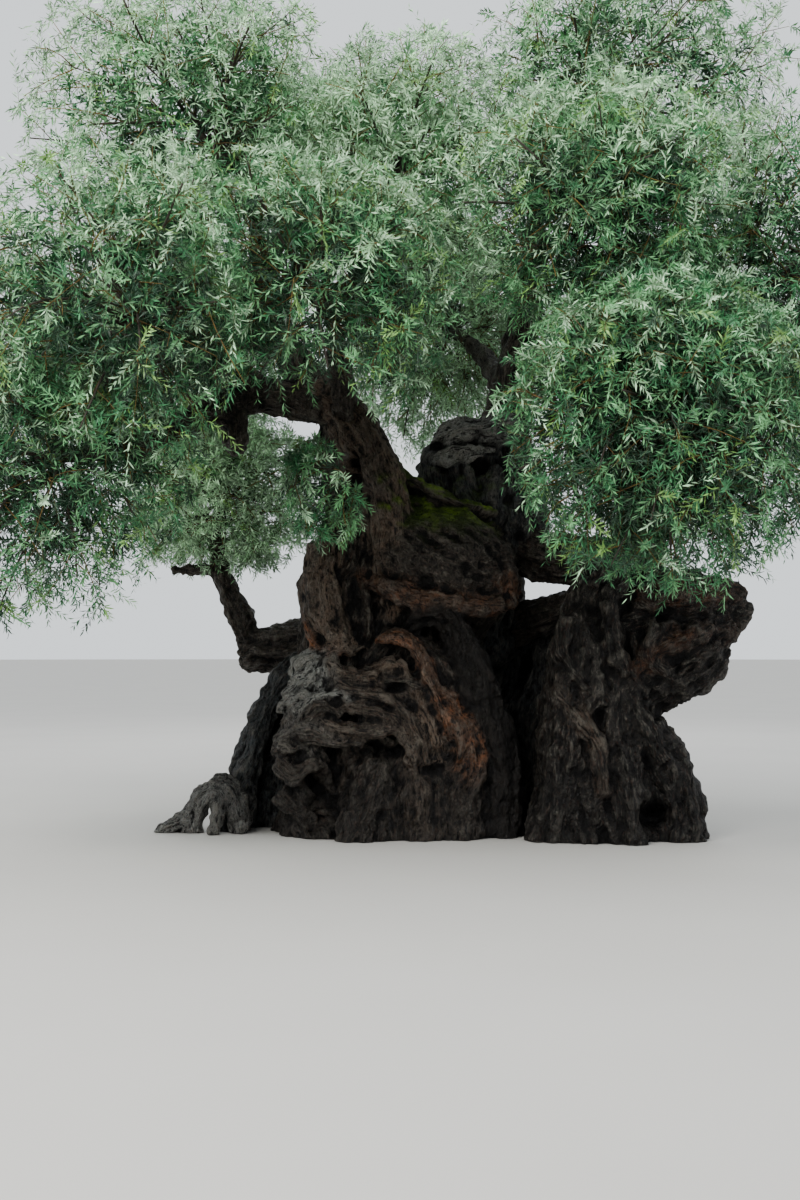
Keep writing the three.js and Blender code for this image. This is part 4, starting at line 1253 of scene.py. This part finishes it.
def cones(foot, tip, wide):
    """Closed slender cones, as places and triangles."""
    across, other = cross_ways(unit(tip - foot))
    turns = (0.0, 2.1, 4.2)
    ring = [foot + wide[:, None] * (across * math.cos(t) + other * math.sin(t)) for t in turns]
    return repeated(np.stack(ring + [tip], 1), [(0, 1, 3), (1, 2, 3), (2, 0, 3), (0, 2, 1)])


def joined(parts):
    """Several meshes, each as places and triangles, as one."""
    starts = np.cumsum([0] + [len(places) for places, _ in parts])
    return (np.vstack([places for places, _ in parts]),
            np.vstack([corners + start for (_, corners), start in zip(parts, starts)]))


# ---- What a user would change -----------------------------------------------------------------
def colour(name, description, *default):
    return FloatVectorProperty(name=name, description=description, subtype="COLOR", default=default)


class OliveBark(bpy.types.PropertyGroup):
    """Sizes and colours of the bark."""

    voxel: FloatProperty(name="Grain of the carving", description="Edge of the cubes that fuse the strands",
                         default=0.018, min=0.01, unit="LENGTH")
    bark: colour("Bark", "Damp old bark", 0.072, 0.058, 0.047)
    # Darker bark for the right trunk, darkened further with the painted shade that the crown casts on it
    shaded_dark_bark: colour("Dark bark", "Wet bark of the right trunk", 0.013, 0.010, 0.009)
    rust: colour("Rusty flakes", "Reddish flakes of bark", 0.150, 0.060, 0.032)
    lichen: colour("Lichen", "Grey-green flakes of bark", 0.050, 0.062, 0.042)
    dead_wood: colour("Dead wood", "Charred and broken wood", 0.080, 0.091, 0.096)
    pale_bark: colour("Pale bark", "Grey bark of the knuckled root", 0.230, 0.230, 0.215)
    warm: colour("Warm bark", "Younger living strands", 0.240, 0.170, 0.122)
    pale: colour("Pale knots", "Grey lobes of bare wood", 0.420, 0.425, 0.395)
    rope: colour("Reddish rope", "The orange-brown rope of wood", 0.370, 0.145, 0.060)
    # Dry fibre tips, and also the colour of the painted highlight on ridges
    tips_and_highlight: colour("Fibre tips", "Raised dry fibres", 0.250, 0.228, 0.190)
    # Wet cracks, and also the colour of the painted shade in creases and on the side that recedes into the
    # hollow
    crevice_and_shade: colour("Crevices", "Wet cracks", 0.006, 0.005, 0.005)
    moss: colour("Moss", "Moss on the saddle", 0.260, 0.400, 0.045)


class OliveCrown(bpy.types.PropertyGroup):
    """Sizes and colours of the crown."""

    leaf_length: FloatProperty(name="Leaf length", description="Length of a full-grown leaf", default=0.075,
                               min=0.03, unit="LENGTH")
    leaf_width: FloatProperty(name="Leaf width", description="Width of a leaf for each metre of its length",
                              default=0.158, min=0.05)
    deep: colour("Deep green", "Shaded leaves", 0.012, 0.055, 0.026)
    green: colour("Green", "Most leaves", 0.052, 0.190, 0.080)
    grey_green: colour("Grey green", "Upper sides in full light", 0.160, 0.355, 0.165)
    silver: colour("Silver", "Pale undersides", 0.460, 0.660, 0.440)
    fresh: colour("Fresh green", "Young leaves", 0.230, 0.400, 0.120)
    twig: colour("Twigs", "Young reddish twigs", 0.130, 0.075, 0.035)
    branch: colour("Branches", "Grey-brown branches", 0.070, 0.055, 0.045)


class OliveStage(bpy.types.PropertyGroup):
    """The floor, the light and the camera."""

    floor: colour("Floor", "Plain pale floor", 0.62, 0.60, 0.57)
    sky: colour("Sky", "Plain pale surround", 0.86, 0.90, 0.93)
    sky_strength: FloatProperty(name="Sky light", description="Strength of the surround", default=1.0, min=0)
    lens: FloatProperty(name="Lens", description="Focal length in millimetres", default=42.0, min=10)


# ---- Operators for the wood -------------------------------------------------------------------
class WoodMaker:
    """Grows one piece of wood: each operator says which, of which limbs, how coarse, and in whose place."""

    bl_options = {"REGISTER", "UNDO"}
    slot, finish, coarse = "bark", "bark", 1.0

    def execute(self, context):
        voxel = context.scene.olive_bark.voxel * self.coarse
        grow_wood(self.piece, self.forms, self.nodes, bark_finish(self.finish), voxel, self.seed)
        return {"FINISHED"}


class OLIVE_OT_trunk_left(WoodMaker, bpy.types.Operator):
    """Grow the great left trunk with its bowl, ropes and root flares"""

    bl_idname = "olive.trunk_left"
    bl_label = "Left trunk"
    piece, nodes, coarse, seed = "trunk_left_wood", ["trunk_left"], 1.1, 1
    forms = LEFT_TRUNK + FRONT_FOLDS + FLARES


class OLIVE_OT_boughs_left(WoodMaker, bpy.types.Operator):
    """Grow the boughs that rise from the left trunk"""

    bl_idname = "olive.boughs_left"
    bl_label = "Left boughs"
    piece, coarse, seed = "boughs_left_wood", 1.2, 2
    forms, nodes = boughs("left_arm", "left_knob", "left_front", "far_left", "left_leader", "left_inner",
                          "left_rear", "top_middle", "top_rear", "neck_twig")


class OLIVE_OT_low_limb(WoodMaker, bpy.types.Operator):
    """Grow the low cut limb behind the left trunk and the branch that rises from it"""

    bl_idname = "olive.low_limb"
    bl_label = "Low limb"
    piece, coarse, seed = "low_limb_wood", 0.9, 3
    forms, nodes = boughs("low_left", "low_rise", "low_stub")


class OLIVE_OT_stump(WoodMaker, bpy.types.Operator):
    """Grow the dark broken top behind the mossy saddle"""

    bl_idname = "olive.stump"
    bl_label = "Broken top"
    piece, nodes, coarse, seed = "stump_wood", ["stump_block"], 1.1, 4
    forms, slot, finish = STUMP, "dead_wood", "dead_wood"


class OLIVE_OT_boughs_middle(WoodMaker, bpy.types.Operator):
    """Grow the two boughs that rise out of the broken top"""

    bl_idname = "olive.boughs_middle"
    bl_label = "Middle boughs"
    piece, coarse, seed = "boughs_middle_wood", 1.2, 5
    forms, nodes = boughs("middle", "middle_rear")


class OLIVE_OT_bridge(WoodMaker, bpy.types.Operator):
    """Grow the limbs and folds that join the trunks"""

    bl_idname = "olive.bridge"
    bl_label = "Joining limbs"
    piece, coarse, seed = "bridge_wood", 0.9, 6
    forms, nodes = boughs("bridge", "link")
    forms = forms + JOINING_FOLDS


class OLIVE_OT_trunk_right(WoodMaker, bpy.types.Operator):
    """Grow the right trunk with its hanging burl"""

    bl_idname = "olive.trunk_right"
    bl_label = "Right trunk"
    piece, nodes, seed = "trunk_right_wood", ["trunk_right"], 7
    # The right trunk's bark carries painted shade
    forms, finish = RIGHT_TRUNK, "shaded_dark_bark"


class OLIVE_OT_boughs_right(WoodMaker, bpy.types.Operator):
    """Grow the boughs that rise from the right trunk"""

    bl_idname = "olive.boughs_right"
    bl_label = "Right boughs"
    piece, coarse, seed = "boughs_right_wood", 1.25, 8
    forms, nodes = boughs("right_main", "right_front", "right_inner", "far_right", "right_rear")


class OLIVE_OT_back_wall(WoodMaker, bpy.types.Operator):
    """Grow the dark wall at the back of the hollow"""

    bl_idname = "olive.back_wall"
    bl_label = "Back wall"
    piece, nodes, coarse, seed = "back_wall_wood", ["trunk_back"], 1.4, 9
    forms, slot, finish = BACK_WALL, "dead_wood", "dead_wood"


class OLIVE_OT_old_shell(WoodMaker, bpy.types.Operator):
    """Grow the thin charred shell on the left"""

    bl_idname = "olive.old_shell"
    bl_label = "Old shell"
    piece, nodes, coarse, seed = "old_shell_wood", ["shell_left"], 0.9, 10
    forms, slot, finish = LEFT_SHELL, "pale_bark", "dead_wood"


class OLIVE_OT_root_knuckle(WoodMaker, bpy.types.Operator):
    """Grow the arched, knuckled root on the left"""

    bl_idname = "olive.root_knuckle"
    bl_label = "Knuckled root"
    piece, nodes, coarse, seed = "root_knuckle_wood", ["root_knuckle"], 0.8, 11
    forms, slot, finish = ROOT_KNUCKLE, "pale_bark", "pale_bark"


# ---- Operators for the crown ------------------------------------------------------------------
BRANCH_TIPS = (0.11, 0.095, 0.08)
TWIG_TIPS = (0.30, 0.20, 0.06)
SHOOT_COLOUR, SHOOT_TIPS = (0.060, 0.095, 0.040), (0.190, 0.150, 0.050)


class OLIVE_OT_branches(bpy.types.Operator):
    """Grow the stems and branches inside each mass of foliage"""

    bl_idname = "olive.branches"
    bl_label = "Branches"
    bl_options = {"REGISTER", "UNDO"}

    def execute(self, context):
        finish = twig_finish("branch bark", tuple(context.scene.olive_crown.branch), BRANCH_TIPS)
        branches = tubes(*crown()["branch"], sides=5, steps=6, narrowing=0.4)
        piece = build_mesh("branches", *joined([stem_tube(name) for name in MASSES] + [branches]))
        dress(piece, finish, FOLIAGE_NODES)
        return {"FINISHED"}


class OLIVE_OT_twigs(bpy.types.Operator):
    """Grow the twigs and leafy shoots that stand on the branches"""

    bl_idname = "olive.twigs"
    bl_label = "Twigs and shoots"
    bl_options = {"REGISTER", "UNDO"}

    def execute(self, context):
        finish = twig_finish("twig bark", tuple(context.scene.olive_crown.twig), TWIG_TIPS)
        twigs = build_mesh("twigs", *tubes(*crown()["twig"], sides=3, steps=3, narrowing=0.45))
        dress(twigs, finish, FOLIAGE_NODES)
        foot, _, tip, wide, *_ = crown()["shoot"]
        finish = twig_finish("shoot bark", SHOOT_COLOUR, SHOOT_TIPS)
        dress(build_mesh("shoots", *cones(foot, tip, wide)), finish, FOLIAGE_NODES)
        return {"FINISHED"}


LEAF_TRIANGLES = 185000  # the most that one piece of leaves may have
TINTS = ("deep", "green", "grey_green", "silver", "fresh")
TINT_STEPS = (0.32, 0.53, 0.80)  # how much light it takes for each of the next three tints
FRESH_SHARE, FRESH_FROM = 0.045, 0.7  # how many shoots are young, and how near the edge those are
# How much painted light the leaves of these masses get, which makes them paler; below nought it is painted
# shade
PAINTED_LIGHT = dict(low_rise=0.65, top_middle=0.38, middle_rear=0.80, left_rear=0.55, left_front=0.08, left_low=0.02,
             right_front=-0.03, right_top=-0.07, right_main=-0.04)
OUTLINED_FROM = 1.0  # share of the room past which a leaf has its full outline
# A leaf: how far along, across and out each corner lies, the triangles, and the side each corner is on
PLAIN_LEAF = ([(0, 0, 0), (0.47, 1.25, 1), (0.47, -1.25, 1), (1, 0, 0)],
              [(0, 2, 1), (1, 2, 3)], (0, 1, -1, 0))
FULL_LEAF = ([(0, 0, 0), (0.32, 1, 0.9), (0.32, -1, 0.9), (0.70, 0.8, 1), (0.70, -0.8, 1), (1, 0, 0)],
             [(0, 2, 1), (1, 2, 4), (1, 4, 3), (3, 4, 5)], (0, 1, -1, 0.8, -0.8, 0))


def tints_of(shoots):
    """The tint of each shoot's leaves, dealt by painted light and shade with chance: paler at the rim and
    high up, deeper inside.
    """
    _, _, tip, _, rim, lift, number = shoots
    dice = np.random.default_rng(5)
    # Painted light and shade: more light at the rim of the mass and high up, less inside and low down
    light = 0.52 * ease((rim - 0.5) / 0.48) + 0.22 * ease(lift * 0.6 + 0.5) + dice.normal(0, 0.22, len(tip))
    light += 0.36 * ease((tip[:, 2] - 3.3) / 2.8)
    light += np.array([PAINTED_LIGHT.get(name, 0.0) for name in MASSES])[number - 1]
    tint = np.digitize(light, TINT_STEPS)
    tint[(dice.random(len(tip)) < FRESH_SHARE) & (rim > FRESH_FROM)] = TINTS.index("fresh")
    return tint


class OLIVE_OT_leaves(bpy.types.Operator):
    """Set opposite pairs of narrow leaves on every shoot, each shoot in one of five greens"""

    bl_idname = "olive.leaves"
    bl_label = "Leaves"
    bl_options = {"REGISTER", "UNDO"}

    def execute(self, context):
        look = context.scene.olive_crown
        shoots = crown()["shoot"]
        base, way, face, length, curl, owner = leaves_on(shoots, look.leaf_length)
        along, out = way * length[:, None], face * (curl * length)[:, None]
        across = (length * look.leaf_width / 2)[:, None] * np.cross(way, face)
        blades = [np.stack([base + x * along + y * across + z * out for x, y, z in outline], 1)
                  for outline, _, _ in (PLAIN_LEAF, FULL_LEAF)]
        outlined, tint = (shoots[4] > OUTLINED_FROM)[owner], tints_of(shoots)[owner]
        for code, name in enumerate(TINTS):
            finish = leaf_finish(f"leaf {name.replace('_', ' ')}", tuple(getattr(look, name)))
            mine = tint == code
            parts = math.ceil((mine.sum() * 2 + (mine & outlined).sum() * 2) / LEAF_TRIANGLES)
            for part, these in enumerate(np.array_split(np.flatnonzero(mine), parts), 1):
                plain, full = these[~outlined[these]], these[outlined[these]]
                places, corners = joined([repeated(blades[0][plain], PLAIN_LEAF[1]),
                                          repeated(blades[1][full], FULL_LEAF[1])])
                sides = np.concatenate([np.tile(PLAIN_LEAF[2], len(plain)), np.tile(FULL_LEAF[2], len(full))])
                piece = build_mesh(f"leaves_{name}_{part}", places, corners, {"side": sides})
                dress(piece, finish, FOLIAGE_NODES)
        return {"FINISHED"}


# ---- The stage --------------------------------------------------------------------------------
LOOKED_AT = (0, 0, 2.6)
CAMERA_TILT = 92.05
SENSOR_WIDTH = 36
# The soft lamps: place, width, watts and colour
LAMPS = dict(
    key=((-7, -13, 13), 9, 2000, (1.0, 0.98, 0.95)),
    fill=((10, -11, 7), 8, 220, (0.92, 0.96, 1.0)),
    rear=((2, 13, 12), 9, 500, (0.95, 0.97, 1.0)),
)


class OLIVE_OT_stage(bpy.types.Operator):
    """Set the plain floor, the soft light and the camera"""

    bl_idname = "olive.stage"
    bl_label = "Stage"
    bl_options = {"REGISTER", "UNDO"}

    def execute(self, context):
        look = context.scene.olive_stage
        deselect()
        bpy.ops.mesh.primitive_circle_add(vertices=96, radius=220, fill_type="NGON", location=(0, 0, -0.004))
        floor = context.object
        floor.name = "floor"
        f = Finish("pale floor")
        grit = f.grainy(f.place(), 90.0, 3.0)
        tone = f.mix(f.grainy(f.place(), 0.6, 2.0), shade(look.floor, 0.96), shade(look.floor, 1.04))
        floor.data.materials.append(f.wear(base_color=tone, roughness=0.85, normal=f.bump(grit, 0.1, 0.001)))
        world = bpy.data.worlds.new("soft surround")
        world.use_nodes = True
        world.node_tree.nodes["Background"].inputs[0].default_value = shade(look.sky)
        world.node_tree.nodes["Background"].inputs[1].default_value = look.sky_strength
        context.scene.world = world
        context.scene.view_settings.look = "AgX - Medium High Contrast"
        for name, (place, size, watts, light_colour) in LAMPS.items():
            deselect()
            bpy.ops.object.light_add(type="AREA", location=place)
            lamp = context.object
            lamp.name = f"{name} light"
            lamp.data.size, lamp.data.energy, lamp.data.color = size, watts, light_colour
            lamp.rotation_euler = (Vector(LOOKED_AT) - Vector(place)).to_track_quat("-Z", "Y").to_euler()
        bpy.ops.object.camera_add(location=EYE, rotation=(math.radians(CAMERA_TILT), 0, 0))
        camera = context.object
        camera.data.lens, camera.data.sensor_width = look.lens, SENSOR_WIDTH
        camera.data.clip_end = 500
        context.scene.camera = camera
        return {"FINISHED"}


class OLIVE_PT_panel(bpy.types.Panel):
    """The steps that dress the tree"""

    bl_label = "Olive tree"
    bl_idname = "OLIVE_PT_panel"
    bl_space_type = "VIEW_3D"
    bl_region_type = "UI"
    bl_category = "Olive tree"

    def draw(self, context):
        column = self.layout.column(align=True)
        for step in STEPS:
            column.operator(step.bl_idname)
        for group in GROUPS:
            settings = getattr(context.scene, group)
            box = self.layout.box()
            for key in settings.__annotations__:
                box.prop(settings, key)


STEPS = (OLIVE_OT_trunk_left, OLIVE_OT_boughs_left, OLIVE_OT_low_limb, OLIVE_OT_stump, OLIVE_OT_boughs_middle,
         OLIVE_OT_bridge, OLIVE_OT_trunk_right, OLIVE_OT_boughs_right, OLIVE_OT_back_wall, OLIVE_OT_old_shell,
         OLIVE_OT_root_knuckle, OLIVE_OT_branches, OLIVE_OT_twigs, OLIVE_OT_leaves, OLIVE_OT_stage)
GROUPS = dict(olive_bark=OliveBark, olive_crown=OliveCrown, olive_stage=OliveStage)


def register():
    for cls in (*GROUPS.values(), *STEPS, OLIVE_PT_panel):
        bpy.utils.register_class(cls)
    for key, group in GROUPS.items():
        setattr(bpy.types.Scene, key, PointerProperty(type=group))


def unregister():
    for key in GROUPS:
        delattr(bpy.types.Scene, key)
    for cls in (OLIVE_PT_panel, *reversed(STEPS), *GROUPS.values()):
        bpy.utils.unregister_class(cls)


def main():
    register()
    for step in STEPS:
        family, name = step.bl_idname.split(".")
        getattr(getattr(bpy.ops, family), name)()


if __name__ == "__main__":
    main()
